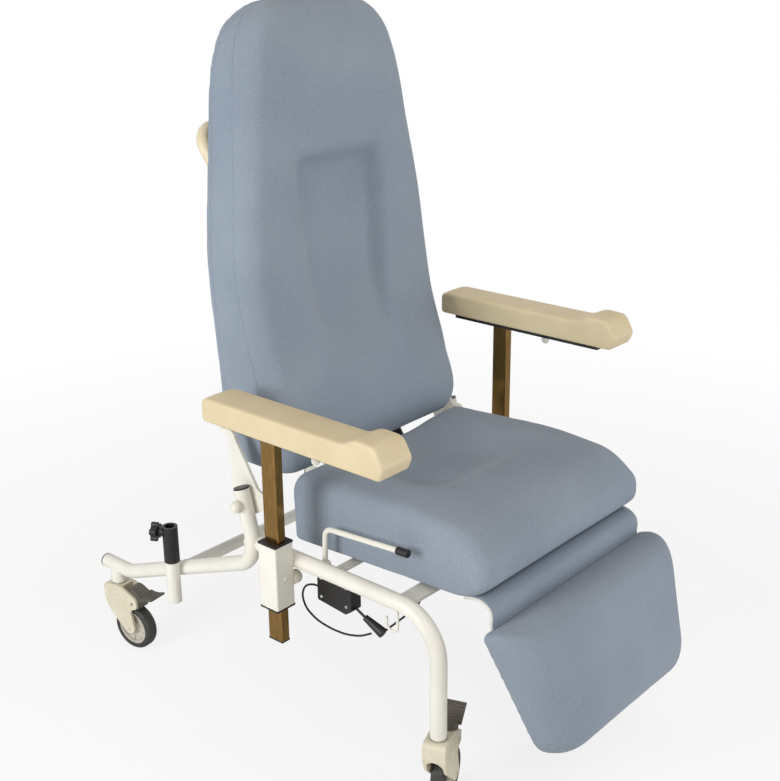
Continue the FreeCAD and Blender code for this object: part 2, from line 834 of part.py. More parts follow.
def hinge_pins():
    """Backrest pivot bolts with ball caps outside the stubs, and the legrest's headed pins."""
    cap_x = rear_tube_x + tube_r + pivot_bolt_r
    bolt = cross_pin(plate_inner_x, cap_x, pivot, pivot_bolt_r)
    bolt = bolt.fuse(Part.makeSphere(pivot_bolt_r * 2, V(cap_x, *pivot)))
    bolt = bolt.cut(cross_pin(rear_tube_x - tube_d, rear_tube_x + tube_r + weld_gap, pivot, tube_d).cut(
        cross_pin(rear_tube_x - tube_d, cap_x, pivot, pivot_bolt_r)))
    head_x = plate_inner_x - side_play
    bolt = bolt.fuse(cross_pin(head_x - plug_flange, head_x, pivot, pivot_bolt_r * 1.6))
    bolt = bolt.fuse(cross_pin(head_x - plug_flange, plate_inner_x, pivot, pivot_bolt_r))
    lug_x = arm_x - plate_thick - side_play - plate_thick
    pin = cross_pin(lug_x - plug_flange, arm_x + side_play + plug_flange, legrest_pivot, crank_pin_r)
    for x in (lug_x - plug_flange - weld_gap, arm_x + side_play):
        pin = pin.fuse(cross_pin(x, x + plug_flange, legrest_pivot, crank_pin_r * 1.8))
    return Part.makeCompound([bolt, mirrored(bolt), pin, mirrored(pin)])


# Armrests, in their sockets

def post_box(wide, deep, low, high):
    """Upright box on the armrest post's axis, by its half width and half depth."""
    return box(socket_x - wide, socket_x + wide, socket_y - deep, socket_y + deep, low, high)


def armrest_sockets():
    outer = socket_side / 2
    inner = outer - socket_wall
    low = socket_low_z + guide_flange
    high = socket_high_z - guide_flange
    sleeve = post_box(outer, outer, low, high)
    sleeve = sleeve.makeFillet(socket_corner, [e for e in sleeve.Edges if e.Length > socket_side + 1])
    sleeve = sleeve.cut(post_box(inner, inner, low, high))
    hole = cross_pin(socket_x - socket_side, socket_x, (knob_y, knob_z), knob_screw_r + running_fit)
    return both_sides(sleeve.cut(hole))


def socket_guides():
    outer = socket_side / 2
    inner = outer - socket_wall - plug_play
    slot = post_box(post_wide / 2 + guide_play, post_deep / 2 + guide_play, post_low_z, pad_low_z)
    guides = []
    for mouth, inward in ((socket_low_z + guide_flange, 1), (socket_high_z - guide_flange, -1)):
        lip = sorted((mouth, mouth - inward * guide_flange))
        body = sorted((mouth, mouth + inward * guide_depth))
        collar = post_box(outer, outer, *lip).fuse(post_box(inner, inner, *body)).cut(slot)
        guides += [collar, mirrored(collar)]
    return Part.makeCompound(guides)


def armrest_post():
    wide, deep = post_wide / 2, post_deep / 2
    high = pad_low_z - arm_plate_thick
    post = post_box(wide, deep, post_low_z, high)
    post = post.makeFillet(post_corner, [e for e in post.Edges if e.Length > socket_side * 2])
    return post.cut(post_box(wide - post_wall, deep - post_wall, post_low_z, high))


def post_plug():
    wide, deep = post_wide / 2, post_deep / 2
    inset = post_wall + plug_play
    lip = post_box(wide, deep, post_low_z - plug_flange, post_low_z)
    return lip.fuse(post_box(wide - inset, deep - inset, post_low_z, post_low_z + plug_depth))


def armrest_plate():
    low = pad_low_z - arm_plate_thick
    plate = box(socket_x - arm_plate_inner, socket_x + arm_plate_outer,
                arm_plate_front_y, arm_plate_rear_y, low, pad_low_z)
    return plate.cut(pad_bolt_shank(plug_play))


def pad_bolt_shank(play):
    return bar(V(socket_x, pad_bolt_y, pad_low_z - arm_plate_thick), V(socket_x, pad_bolt_y, pad_low_z),
               knob_screw_r + play)


def pad_bolt():
    seat = V(socket_x, pad_bolt_y, pad_low_z - arm_plate_thick)
    tip = seat - V(0, 0, pad_bolt_drop - pad_bolt_r)
    return pad_bolt_shank(0).fuse(bar(tip, seat, pad_bolt_r)).fuse(Part.makeSphere(pad_bolt_r, tip))


def armrest_pad():
    low, top, crest = pad_low_z, pad_low_z + pad_thick, pad_low_z + pad_hump
    outline = [(pad_rear_y, low), (pad_rear_y, top - pad_rear_drop), (pad_front_y + pad_dip_run, top),
               (pad_front_y + pad_crest_run, crest), (pad_front_y + pad_brow_run, crest - pad_brow_drop),
               (pad_front_y, low + pad_chin_rise), (pad_front_y + pad_chin_run, low)]
    x0, x1 = socket_x - pad_half_width, socket_x + pad_half_width
    return soften(slab_x(outline, pad_rounds, x0, x1), 0, (x0, x1), pad_edge_r)


def armrest_knob():
    """Clamp knob on the socket's inner face; its screw stops just short of the post."""
    face = socket_x - socket_side / 2 - weld_gap
    tip = socket_x - post_wide / 2 - soft_gap
    screw = cross_pin(face - knob_length, tip, (knob_y, knob_z), knob_screw_r)
    grip = cross_pin(face - knob_length, face - soft_gap, (knob_y, knob_z), knob_r)
    return screw.fuse(grip.makeFillet(grip_edge_r, grip.Edges))


def by_side(shape):
    """The right-hand piece and the left-hand one, which stands higher."""
    left = shape.copy()
    left.translate(V(0, 0, left_armrest_rise))
    return mirrored(shape), left


# Pole holder

def pole_holder_tube():
    low = V(holder_x, crossbar_y, holder_low_z)
    high = V(holder_x, crossbar_y, holder_high_z)
    tube = bar(low, high, holder_d / 2)
    return tube.cut(bar(low + V(0, 0, holder_wall), high, holder_d / 2 - holder_wall))


def pole_clamp_sleeve():
    low = V(holder_x, crossbar_y, holder_high_z)
    high = V(holder_x, crossbar_y, clamp_top_z)
    boss = bar(clamp_axis, clamp_axis + clamp_out * (clamp_d / 2 + clamp_boss), clamp_boss_r)
    sleeve = bar(low, high, clamp_d / 2).fuse(boss).cut(bar(low, high, pole_bore_r))
    return sleeve.cut(bar(clamp_axis, clamp_axis + clamp_out * clamp_d, clamp_screw_r + running_fit))


def pole_clamp_knob():
    seat = clamp_axis + clamp_out * (clamp_d / 2 + clamp_boss + soft_gap)
    end = seat + clamp_out * star_thick
    side = V(0, 0, 1).cross(clamp_out)
    knob = bar(seat, end, star_r - star_lobe_r)
    for i in range(star_lobes):
        angle = 2 * math.pi * i / star_lobes
        out = (V(0, 0, 1) * math.cos(angle) + side * math.sin(angle)) * (star_r - star_lobe_r)
        knob = knob.fuse(bar(seat + out, end + out, star_lobe_r))
    return knob.fuse(bar(clamp_axis + clamp_out * (pole_bore_r + soft_gap), end, clamp_screw_r))


# Release lever, release box, cables and hook

def lever_line():
    top = V(lever_x, lever_y - lever_lean, lever_top_z)
    tip = V(lever_x, lever_tip_y + lever_tip_length / 2, lever_top_z + lever_rise)
    return [V(lever_x, *lever_eye), top, tip]


def release_lever():
    rod = pipe(lever_line(), [0, lever_bend, 0], lever_rod_r)
    x0 = lever_x - lever_eye_width / 2
    eye = cross_pin(x0, x0 + lever_eye_width, lever_eye, lever_eye_r)
    return rod.fuse(eye).cut(cross_pin(x0, x0 + lever_eye_width, lever_eye, lever_rod_r + running_fit))


def lever_tip():
    start, end = lever_line()[1:]
    along = (end - start).normalize()
    cap = bar(end - along * lever_tip_length / 2, end + along * lever_tip_length / 2, lever_tip_r)
    cap = cap.makeFillet(grip_edge_r, cap.Edges)
    return cap.cut(bar(end - along * lever_tip_length, end, lever_rod_r + running_fit))


def release_box():
    """Moulded release box with a hanger to the rear seat bar and its short pull rod."""
    x0, x1 = cable_x - box_half_width, cable_x + box_half_width
    outline = [(box_rear_y, box_low_z + box_rear_lift), (box_rear_y, box_high_z), (box_front_y, box_high_z),
               (box_front_y, box_low_z + box_front_lift),
               (box_front_y + box_chin_run, box_low_z - box_chin_drop)]
    shell = slab_x(outline, [box_corner] * len(outline), x0, x1)
    bar_low_z = seat_plane_z - 2 * bar_thick - rear_bar_y * math.tan(math.radians(seat_tilt))
    half = hanger_width / 2
    hanger = box(cable_x - half, cable_x + half, rear_bar_y - half, rear_bar_y + half,
                 box_high_z, bar_low_z - 2 * soft_gap)
    start = V(cable_x, box_front_y - hook_r / 2, box_low_z + pull_rod_lift)
    end = junction_ends()[0] + V(0, soft_gap * 2, soft_gap)
    return Part.makeCompound([shell.fuse(hanger), bar(start, end, hook_r)])


def junction_ends():
    return [V(cable_x, box_front_y - ahead, box_low_z - below)
            for ahead, below in (junction_start, junction_end)]


def cable_junction():
    start, end = junction_ends()
    return Part.makeCone(3 * cable_r, 5 * cable_r, (end - start).Length, start, end - start)


def held_cable(route):
    """Cable sheath with each arc as large as its two runs allow."""
    radii = [0]
    for before, point, after in zip(route, route[1:], route[2:]):
        turn = (point - before).getAngle(after - point)
        shorter = min((point - before).Length, (after - point).Length)
        radii.append(0.45 * shorter / math.tan(turn / 2))
    radii.append(0)
    sheath = pipe(route, radii, cable_r)
    length = rounded_wire(route, radii, closed=False).Length
    share = sheath.Volume / (math.pi * cable_r ** 2 * length)
    bends = [round(r) for r in radii[1:-1]]
    print("cable length", round(length, 1), "volume share", round(share, 4), "radii", bends)
    return sheath


def release_cables():
    rear = box_rear_y + weld_gap
    loop = [(rear, 320), (rear + 22, 321), (86, 310), (95, 286), (85, 262), (58, 247), (22, 242),
            (-18, 244), (-54, 255), (-79, 270)]
    front = [(0, -112.6, 288), (2, -133, 309), (7, -157, 334), (15, -177, 358), (18, -184, 376.2)]
    rear_sheath = held_cable([V(cable_x, y, z) for y, z in loop])
    front_sheath = held_cable([V(cable_x + x, y, z) for x, y, z in front])
    return Part.makeCompound([rear_sheath, front_sheath])


def bag_hook():
    top = V(-rail_x, hook_y, rail_z - tube_r - weld_gap)
    line = [top, V(-rail_x, hook_y, hook_low_z), V(-rail_x, hook_y + hook_gap, hook_low_z),
            V(-rail_x, hook_y + hook_gap, hook_tip_z)]
    bend = (hook_gap - weld_gap) / 2
    return pipe(line, [0, bend, bend, 0], hook_r)


# Casters, modelled at the origin with the wheel trailing towards +X

def caster_stems():
    stems = []
    for place, turn in caster_places.values():
        foot = place + V(0, 0, caster_height)
        stem = bar(foot, foot + V(0, 0, stem_plug - plug_play), tube_r - tube_wall - plug_play)
        stem = stem.fuse(bar(foot - V(0, 0, stem_flange), foot, boss_r))
        stems.append(stem.fuse(bar(foot - V(0, 0, swivel_pin_length), foot, swivel_pin_r)))
    return Part.makeCompound(stems)


def caster_fork():
    """Two cheeks under a crown, arched at the front so that the tyre shows between them."""
    top = caster_height - stem_flange - swivel_gap
    half = fork_width / 2
    crown = [(-fork_nose, top), (fork_nose, top)]
    x, z = pedal_pin
    lobe = [(x + fork_lobe, z + fork_lobe), (x + fork_lobe, z - fork_lobe + fork_web),
            (x - fork_lobe / 2, z - fork_lobe - fork_web)]
    hub = [(trail + fork_hub_r, wheel_r), (trail, wheel_r - fork_hub_r),
           (trail - fork_hub_r, wheel_r - fork_web)]
    front = [(-fork_hub_r, top - fork_chin), (-fork_nose, top - fork_cheek)]
    fork = slab_y(crown + lobe + hub + front, fork_rounds, -half, half)
    inner = half - fork_wall
    fork = fork.cut(bar(V(trail, -inner, wheel_r), V(trail, inner, wheel_r), wheel_r + wheel_play))
    fork = fork.cut(box(x - pedal_slot, x + pedal_reach, -inner, inner, wheel_r, caster_height))
    pin_end = caster_height - swivel_pin_length - swivel_gap
    fork = fork.cut(bar(V(0, 0, pin_end), V(0, 0, caster_height), swivel_pin_r + running_fit))
    spring = pin_end - fork_web - inner
    fork = fork.cut(bar(V(-2 * fork_nose, 0, spring), V(trail, 0, spring), inner))
    fork = fork.cut(box(-2 * fork_nose, trail, -inner, inner, 0, spring))
    for x, z, radius in ((trail, wheel_r, axle_r), (*pedal_pin, pedal_pin_r)):
        fork = fork.cut(bar(V(x, -half, z), V(x, half, z), radius + running_fit))
    return fork


def turned_y(outline, x, z):
    """Ring turned about an axle along Y: the outline is radius and y."""
    wire = Part.makePolygon([V(x, y, z + r) for r, y in outline + outline[:1]])
    return Part.Face(wire).revolve(V(x, 0, z), V(0, 1, 0), 360)


def caster_wheel():
    """Wheel centre with a raised hub and a rim each side of a thinner disc, and its axle."""
    half = tyre_width / 2 - rim_inset
    disc = half - wheel_dish
    hub = half + hub_proud
    rim = wheel_r - tyre_depth - running_fit
    side = [(rim, half), (rim - wheel_dish, half), (rim - wheel_dish - wheel_draft, disc),
            (wheel_hub_r + wheel_draft, disc), (wheel_hub_r, hub), (0, hub)]
    outline = side + [(r, -y) for r, y in reversed(side)]
    end = fork_width / 2 - pedal_side_gap
    axle = bar(V(trail, -end, wheel_r), V(trail, end, wheel_r), axle_r)
    return turned_y(outline, trail, wheel_r).fuse(axle)


def caster_tyre():
    half = tyre_width / 2
    rim = wheel_r - tyre_depth
    ring = bar(V(trail, -half, wheel_r), V(trail, half, wheel_r), wheel_r)
    ring = ring.makeFillet(tyre_edge_r, [e for e in ring.Edges if abs(e.Length - 2 * math.pi * wheel_r) < 1])
    return ring.cut(bar(V(trail, -half, wheel_r), V(trail, half, wheel_r), rim))


def caster_pedal():
    """Brake pedal, pressed: a dipped foot plate that flares past the fork, and a shoe over the tyre."""
    half = fork_width / 2 - fork_wall - pedal_side_gap
    x, z = pedal_pin
    middle = pedal_reach / 2
    tip = x + pedal_reach
    outline = [(x - fork_lobe, z + pedal_crown), (x, z + pedal_crown), (x + middle, z + pedal_dip),
               (tip, z + pedal_tip_rise), (tip, z + pedal_tip_rise - pedal_plate),
               (x + middle, z + pedal_dip - pedal_plate),
               (x + fork_lobe + pedal_heel, z + pedal_dip - 2 * pedal_plate), (x + fork_lobe, z - fork_lobe),
               (x - fork_lobe, z - fork_lobe / 2), (x - fork_lobe - pedal_heel / 2, z + fork_lobe / 2)]
    flare = slab_y(outline, pedal_rounds, -pedal_flare, pedal_flare)
    outside = box(x + fork_lobe + pedal_wing, tip, -pedal_flare, pedal_flare, z, caster_height)
    flare = flare.common(outside)
    pedal = slab_y(outline, pedal_rounds, -half, half).fuse(flare)
    tread = bar(V(trail, -pedal_flare, wheel_r), V(trail, pedal_flare, wheel_r), wheel_r + shoe_gap)
    lifted_tread = tread.copy()
    lifted_tread.rotate(V(x, 0, z), V(0, 1, 0), pedal_swing)
    end = fork_width / 2 - pedal_side_gap
    return pedal.cut(tread).cut(lifted_tread).fuse(bar(V(x, -end, z), V(x, end, z), pedal_pin_r))


def lifted(pedal):
    """The pedal of an unlocked caster, tip up."""
    turned = pedal.copy()
    turned.rotate(V(pedal_pin_x, 0, pedal_pin_z), V(0, 1, 0), -pedal_swing)
    return turned


def placed_caster(shape, name):
    place, turn = caster_places[name]
    moved = shape.copy()
    moved.rotate(V(0, 0, 0), V(0, 0, 1), turn)
    moved.translate(place)
    return moved


def all_parts():
    parts = {
        "front_frame_tubes": front_frame_tubes(), "rear_frame_tubes": rear_frame_tubes(),
        "rear_crossbar": rear_crossbar(), "tube_plugs": tube_plugs(), "seat_frame": seat_frame(),
        "seat_board": seat_board(), "seat_cushion": seat_cushion(), "hinge_pins": hinge_pins(),
        "backrest_cushion": backrest_cushion(), "backrest_board": backrest_board(),
        "backrest_plates": backrest_plates(), "backrest_brackets": backrest_brackets(),
        "push_handle": push_handle(), "legrest_cushion": legrest_cushion(), "legrest_board": legrest_board(),
        "legrest_arms": legrest_arms(), "flap": flap(), "link_rod": link_rod(),
        "gas_spring_cylinder": gas_spring_cylinder(), "gas_spring_rod": gas_spring_rod(),
        "armrest_sockets": armrest_sockets(), "socket_guides": socket_guides(),
        "pole_holder_tube": pole_holder_tube(), "pole_clamp_sleeve": pole_clamp_sleeve(),
        "pole_clamp_knob": pole_clamp_knob(), "release_lever": release_lever(), "lever_tip": lever_tip(),
        "release_box": release_box(), "cable_junction": cable_junction(), "release_cables": release_cables(),
        "bag_hook": bag_hook(), "caster_stems": caster_stems(),
    }
    armrest = {"armrest_pad": armrest_pad(), "armrest_plate": armrest_plate(), "armrest_post": armrest_post(),
               "post_plug": post_plug(), "pad_bolt": pad_bolt()}
    for name, shape in armrest.items():
        parts[name + "_R"], parts[name + "_L"] = by_side(shape)
    parts["armrest_knob_L"] = armrest_knob()
    parts["armrest_knob_R"] = mirrored(parts["armrest_knob_L"])
    caster = {"fork": caster_fork(), "wheel": caster_wheel(), "tyre": caster_tyre(), "pedal": caster_pedal()}
    for place in caster_places:
        for name, shape in caster.items():
            if name == "pedal" and place in unlocked_casters:
                shape = lifted(shape)
            parts[place + "_" + name] = placed_caster(shape, place)
    return parts


def footprint_shift(parts):
    """The move that puts the middle of the footprint at the origin."""
    whole = Part.makeCompound(list(parts.values())).optimalBoundingBox(False, False)
    return V(0, -(whole.YMin + whole.YMax) / 2, 0)


part_shapes = all_parts()
to_origin = footprint_shift(part_shapes)
os.makedirs("parts", exist_ok=True)
for node, shape in part_shapes.items():
    shape.translate(to_origin)
    shape.exportStep("parts/" + node + ".step")
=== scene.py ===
import json
import math

import bmesh
import bpy
import numpy as np
from mathutils import Matrix, Vector
from mathutils.bvhtree import BVHTree
from mathutils.kdtree import KDTree

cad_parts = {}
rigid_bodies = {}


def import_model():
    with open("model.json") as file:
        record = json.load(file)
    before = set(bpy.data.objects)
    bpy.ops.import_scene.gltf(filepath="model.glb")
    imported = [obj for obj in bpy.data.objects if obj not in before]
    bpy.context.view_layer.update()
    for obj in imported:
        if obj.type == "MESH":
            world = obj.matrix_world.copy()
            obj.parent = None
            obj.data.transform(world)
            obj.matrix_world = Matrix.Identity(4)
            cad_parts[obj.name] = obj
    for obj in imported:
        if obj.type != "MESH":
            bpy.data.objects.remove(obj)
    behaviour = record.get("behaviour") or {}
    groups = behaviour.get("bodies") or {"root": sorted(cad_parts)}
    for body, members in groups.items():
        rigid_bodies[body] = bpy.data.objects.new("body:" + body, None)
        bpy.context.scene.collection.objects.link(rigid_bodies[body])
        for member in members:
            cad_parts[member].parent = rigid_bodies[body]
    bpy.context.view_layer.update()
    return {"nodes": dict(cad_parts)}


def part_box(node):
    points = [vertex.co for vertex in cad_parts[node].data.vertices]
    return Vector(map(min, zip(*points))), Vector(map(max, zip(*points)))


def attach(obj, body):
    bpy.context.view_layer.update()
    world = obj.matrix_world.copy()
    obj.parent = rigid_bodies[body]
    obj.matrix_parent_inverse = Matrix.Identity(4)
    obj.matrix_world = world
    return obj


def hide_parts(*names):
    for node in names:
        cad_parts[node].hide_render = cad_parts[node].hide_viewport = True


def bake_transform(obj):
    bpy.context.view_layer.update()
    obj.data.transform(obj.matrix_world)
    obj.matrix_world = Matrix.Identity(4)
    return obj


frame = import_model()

# Rest armchair. Lengths below are millimetres in the chair's own frame, whose y runs from a datum at the
# hips, and at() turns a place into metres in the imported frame.

MM = 0.001
tube_r = 15
front_leg_y = -259
datum_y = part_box("front_frame_tubes")[0].y - (front_leg_y - tube_r) * MM
nodes = frame["nodes"]
sides = ((-1, "R"), (1, "L"))


def at(x, y, z):
    return Vector((x * MM, y * MM + datum_y, z * MM))


def turned(x, y, z, base_y, base_z, angle):
    """A point of a piece that is turned about x at a base place."""
    return at(x, base_y + y * math.cos(angle) - z * math.sin(angle),
              base_z + y * math.sin(angle) + z * math.cos(angle))


def linear(hex_colour):
    """sRGB hex to a linear RGBA colour."""
    parts = [int(hex_colour[i:i + 2], 16) / 255 for i in (0, 2, 4)]
    return [c / 12.92 if c <= 0.04045 else ((c + 0.055) / 1.055) ** 2.4 for c in parts] + [1.0]


def per_mm(size):
    """Texture scale that gives a pattern of this size in millimetres."""
    return 1000 / size


def ease(low, high, value):
    """0 below low, 1 above high, smooth between."""
    share = np.clip((value - low) / (high - low), 0, 1)
    return share * share * (3 - 2 * share)


def along(stations, place):
    """Smooth curve through (place, value) stations."""
    places = [s[0] for s in stations]
    values = [s[1] for s in stations]
    slopes = np.gradient(values, places)
    i = int(np.clip(np.searchsorted(places, place) - 1, 0, len(places) - 2))
    step = places[i + 1] - places[i]
    t = min(max((place - places[i]) / step, 0), 1)
    rise = (1 + 2 * t) * (1 - t) ** 2 * values[i] + t * t * (3 - 2 * t) * values[i + 1]
    return rise + step * (t * (1 - t) ** 2 * slopes[i] - t * t * (1 - t) * slopes[i + 1])


def drawn_in(beyond, radius):
    """How far a quarter round draws a piece in, at a place beyond the start of the round."""
    share = max(0, beyond) / radius
    return radius * (1 - math.sqrt(max(0, 1 - share * share)))


def across(half, edge, count):
    """Places across a piece with rounded sides, each with how far it is drawn in there."""
    inner = half - edge
    rounded = [inner + edge * math.sin(math.radians(a)) for a in range(0, 91, 15)]
    places = [-x for x in reversed(rounded)] + list(np.linspace(-inner, inner, count)[1:-1]) + rounded
    return [(x, drawn_in(abs(x) - inner, edge)) for x in places]


# Materials

def add(tree, kind, inputs=None, **settings):
    """Adds a node with its settings, and fills or links its inputs by name or number."""
    node = tree.nodes.new(kind)
    for name, value in settings.items():
        setattr(node, name, value)
    for key, value in (inputs or {}).items():
        if isinstance(value, bpy.types.NodeSocket):
            tree.links.new(value, node.inputs[key])
        else:
            node.inputs[key].default_value = value
    return node


def new_material(name, **shader_values):
    """A material with a Principled shader, its fixed values set, and Object coordinates ready."""
    material = bpy.data.materials.new(name)
    material.use_nodes = True
    tree = material.node_tree
    tree.nodes.clear()
    inputs = {key.replace("_", " "): value for key, value in shader_values.items()}
    shader = add(tree, "ShaderNodeBsdfPrincipled", inputs)
    add(tree, "ShaderNodeOutputMaterial", {"Surface": shader.outputs[0]})
    place = add(tree, "ShaderNodeTexCoord").outputs["Object"]
    return material, tree, shader, place


def mottle(tree, place, size, dark, light, low=0.3, high=0.7, detail=3.0):
    """Colour that wanders between two tones in patches of a size in millimetres."""
    patch = add(tree, "ShaderNodeTexNoise", {"Vector": place, "Scale": per_mm(size), "Detail": detail})
    ramp = add(tree, "ShaderNodeValToRGB", {"Fac": patch.outputs["Fac"]})
    for stop, share, tone in zip(ramp.color_ramp.elements, (low, high), (dark, light)):
        stop.position = share
        stop.color = linear(tone)
    return ramp.outputs["Color"]


def grain(tree, shader, place, size, depth, strength=0.5):
    """Fine bump of a moulded or sprayed surface, size and depth in millimetres."""
    noise = add(tree, "ShaderNodeTexNoise", {"Vector": place, "Scale": per_mm(size), "Detail": 2.0})
    bump = add(tree, "ShaderNodeBump",
               {"Height": noise.outputs["Fac"], "Distance": depth * MM, "Strength": strength})
    tree.links.new(bump.outputs["Normal"], shader.inputs["Normal"])


def uneven(tree, shader, place, size, low, high):
    """Roughness that wanders between two values."""
    noise = add(tree, "ShaderNodeTexNoise", {"Vector": place, "Scale": per_mm(size), "Detail": 4.0})
    span = add(tree, "ShaderNodeMapRange", {"Value": noise.outputs["Fac"], "To Min": low, "To Max": high})
    tree.links.new(span.outputs["Result"], shader.inputs["Roughness"])


def woven_cloth():
    """Flat-woven polyester upholstery: matt, slightly heathered, with a soft sheen at grazing angles.
    The real thread spacing is under 1 mm, and it is drawn coarser so that it shows."""
    material, tree, shader, place = new_material(
        "woven_polyester_cloth", Roughness=0.9, IOR=1.45, Sheen_Weight=0.12, Sheen_Roughness=0.5)
    shader.inputs["Specular IOR Level"].default_value = 0.25
    heather = mottle(tree, place, 2.6, "8893A0", "96A0AC", detail=4.0)
    cast = mottle(tree, place, 160.0, "F4F5F7", "FFFFFF", low=0.35, high=0.65, detail=1.0)
    colour = add(tree, "ShaderNodeMix", {0: 1.0, 6: heather, 7: cast},
                 data_type="RGBA", blend_type="MULTIPLY")
    tree.links.new(colour.outputs[2], shader.inputs["Base Color"])
    thread_spacing = 3.6
    unscaled_wave = math.pi / 10
    height = 0.0
    for axis in "XYZ":
        wave = add(tree, "ShaderNodeTexWave",
                   {"Vector": place, "Scale": per_mm(thread_spacing) * unscaled_wave,
                    "Distortion": 1.2, "Detail": 1.0}, bands_direction=axis)
        height = add(tree, "ShaderNodeMath", {0: height, 1: wave.outputs["Fac"]}).outputs[0]
    bump = add(tree, "ShaderNodeBump", {"Height": height, "Distance": 0.2 * MM, "Strength": 0.3})
    tree.links.new(bump.outputs["Normal"], shader.inputs["Normal"])
    return material


def plain(name, patch, dark, light, detail=3.0, shine=None, bumps=None, stretch=None, **shader_values):
    """A material in two tones, with shine as (patch size, least and most roughness), bumps as grain()
    takes them, and its pattern stretched or not."""
    material, tree, shader, place = new_material(name, **shader_values)
    if stretch:
        place = add(tree, "ShaderNodeMapping", {"Vector": place, "Scale": stretch}).outputs[0]
    tree.links.new(mottle(tree, place, patch, dark, light, detail=detail), shader.inputs["Base Color"])
    if shine:
        uneven(tree, shader, place, *shine)
    if bumps:
        grain(tree, shader, place, *bumps)
    return material


def powder_coat(name, dark, light, low, high):
    """Sprayed and baked polyester powder: an even colour with a slight orange peel."""
    return plain(name, 90.0, dark, light, 2.0, (40.0, low, high), (2.2, 0.08, 0.35), IOR=1.5)


def moulded_plastic(name, dark, light, low, high):
    """Injection-moulded plastic: an even colour and a fine spark-eroded texture."""
    return plain(name, 30.0, dark, light, 2.0, (18.0, low, high), (1.2, 0.08, 0.4), IOR=1.49)


def drawn_metal(name, dark, light, low, high, stretch=None):
    """Drawn or plated metal: bright, with faint lines where its pattern is stretched along the piece."""
    return plain(name, 12.0, dark, light, 2.0, (6.0, low, high), stretch=stretch, Metallic=1.0)


cloth = woven_cloth()
# Twisted polyester thread: the cloth's colour, a little darker and glossier
thread = plain("polyester_thread", 1.5, "7B8895", "8E9AA8", Roughness=0.6, IOR=1.5)
# Off-white cotton tape sewn over a cut edge: dull, with a fine grain
tape = plain("cotton_edge_tape", 2.0, "D9D6CE", "E6E3DC", bumps=(1.2, 0.15), Roughness=0.9)
# Black non-woven cloth stapled under upholstery: dull, with a faint fibre mottle
underside = plain("black_nonwoven_cloth", 4.0, "18181A", "26262A", bumps=(1.5, 0.2), Roughness=0.95)
# Self-skinned polyurethane, moulded: ivory, satin, with a fine leather-like grain
foam_skin = plain("ivory_polyurethane_skin", 60.0, "D3C29C", "DACAA6", 2.0, (25.0, 0.42, 0.55),
                  (1.6, 0.12, 0.4), IOR=1.5)
white_coat = powder_coat("white_powder_coat", "E5E1D5", "EDEAE0", 0.28, 0.4)
black_coat = powder_coat("black_powder_coat", "100F0F", "191817", 0.35, 0.5)
black_plastic = moulded_plastic("black_nylon", "0E0D0C", "171514", 0.35, 0.5)
white_plastic = moulded_plastic("white_nylon", "DFDACC", "E8E3D7", 0.35, 0.45)
cream_plastic = moulded_plastic("cream_polyamide", "D6CDB4", "DFD7C1", 0.32, 0.45)
handle_plastic = moulded_plastic("cream_pvc_sleeve", "E0D2B2", "E8DCC0", 0.35, 0.5)
wheel_plastic = moulded_plastic("grey_polypropylene", "B9B3A8", "C8C2B6", 0.4, 0.55)
pedal_plastic = moulded_plastic("brown_grey_polyamide", "4F4A42", "625B51", 0.4, 0.55)
# Chrome-plated armrest posts: the bronze tint is a painted reflection of the warm surroundings that the
# mirror-bright tubes show, and the faint lines along them are drawn grain.
reflection_tinted_chrome = drawn_metal("chrome_tube_painted_reflection_tint", "7E6136", "9A7A48", 0.16, 0.3, (8, 8, 0.4))
zinc_metal = drawn_metal("zinc_plated_steel", "A9AAA6", "C3C4C0", 0.3, 0.45)
chrome_metal = drawn_metal("hard_chrome", "C9CBCC", "DADCDD", 0.06, 0.12)
# Moulded rubber: dull, in uneven greys
rubber = plain("grey_rubber", 14.0, "2B2B2A", "403F3B", shine=(10.0, 0.5, 0.75), bumps=(1.4, 0.15), IOR=1.5)


# Meshes

def smooth_faces(mesh):
    mesh.polygons.foreach_set("use_smooth", [True] * len(mesh.polygons))


def in_scene(name, data):
    thing = bpy.data.objects.new(name, data)
    bpy.context.scene.collection.objects.link(thing)
    return thing


def new_piece(name, mesh, material, body):
    """A piece of one material and the body that it rides on."""
    piece = in_scene(name, mesh)
    mesh.materials.clear()
    mesh.materials.append(material)
    smooth_faces(mesh)
    piece["home"] = body
    return piece


def kept_mesh(name, bm):
    mesh = bpy.data.meshes.new(name)
    bm.to_mesh(mesh)
    bm.free()
    return mesh


def join_loops(bm, lower, upper):
    """Faces between two closed loops of as many points."""
    count = len(lower)
    for i in range(count):
        j = (i + 1) % count
        bm.faces.new((lower[i], lower[j], upper[j], upper[i]))


def skin(name, rings, material, body):
    """A closed piece over rings of points, with the first and last ring filled."""
    bm = bmesh.new()
    loops = [[bm.verts.new(p) for p in ring] for ring in rings]
    for lower, upper in zip(loops, loops[1:]):
        join_loops(bm, lower, upper)
    bm.faces.new(loops[0][::-1])
    bm.faces.new(loops[-1])
    bmesh.ops.triangulate(bm, faces=[f for f in bm.faces if len(f.verts) > 4])
    bmesh.ops.recalc_face_normals(bm, faces=bm.faces)
    return new_piece(name, kept_mesh(name, bm), material, body)


def rounded_loop(corners, radii, arc_steps, side_steps):
    """Points round a polygon with rounded corners, as many on each side and arc at any size."""
    corners = [Vector(c) for c in corners]
    count = len(corners)
    most_of_side = 0.48
    arcs = []
    for i, here in enumerate(corners):
        back, ahead = corners[i - 1] - here, corners[(i + 1) % count] - here
        half = back.angle(ahead) / 2
        reach = min(radii[i] / math.tan(half), most_of_side * min(back.length, ahead.length))
        radius = reach * math.tan(half)
        back.normalize()
        ahead.normalize()
        centre = here + (back + ahead).normalized() * radius / math.sin(half)
        start, end = here + back * reach - centre, here + ahead * reach - centre
        arcs.append([centre + start.slerp(end, k / arc_steps) * radius for k in range(arc_steps + 1)])
    points = []
    for arc, following in zip(arcs, arcs[1:] + arcs[:1]):
        points += arc
        points += [arc[-1].lerp(following[0], k / side_steps) for k in range(1, side_steps)]
    return points


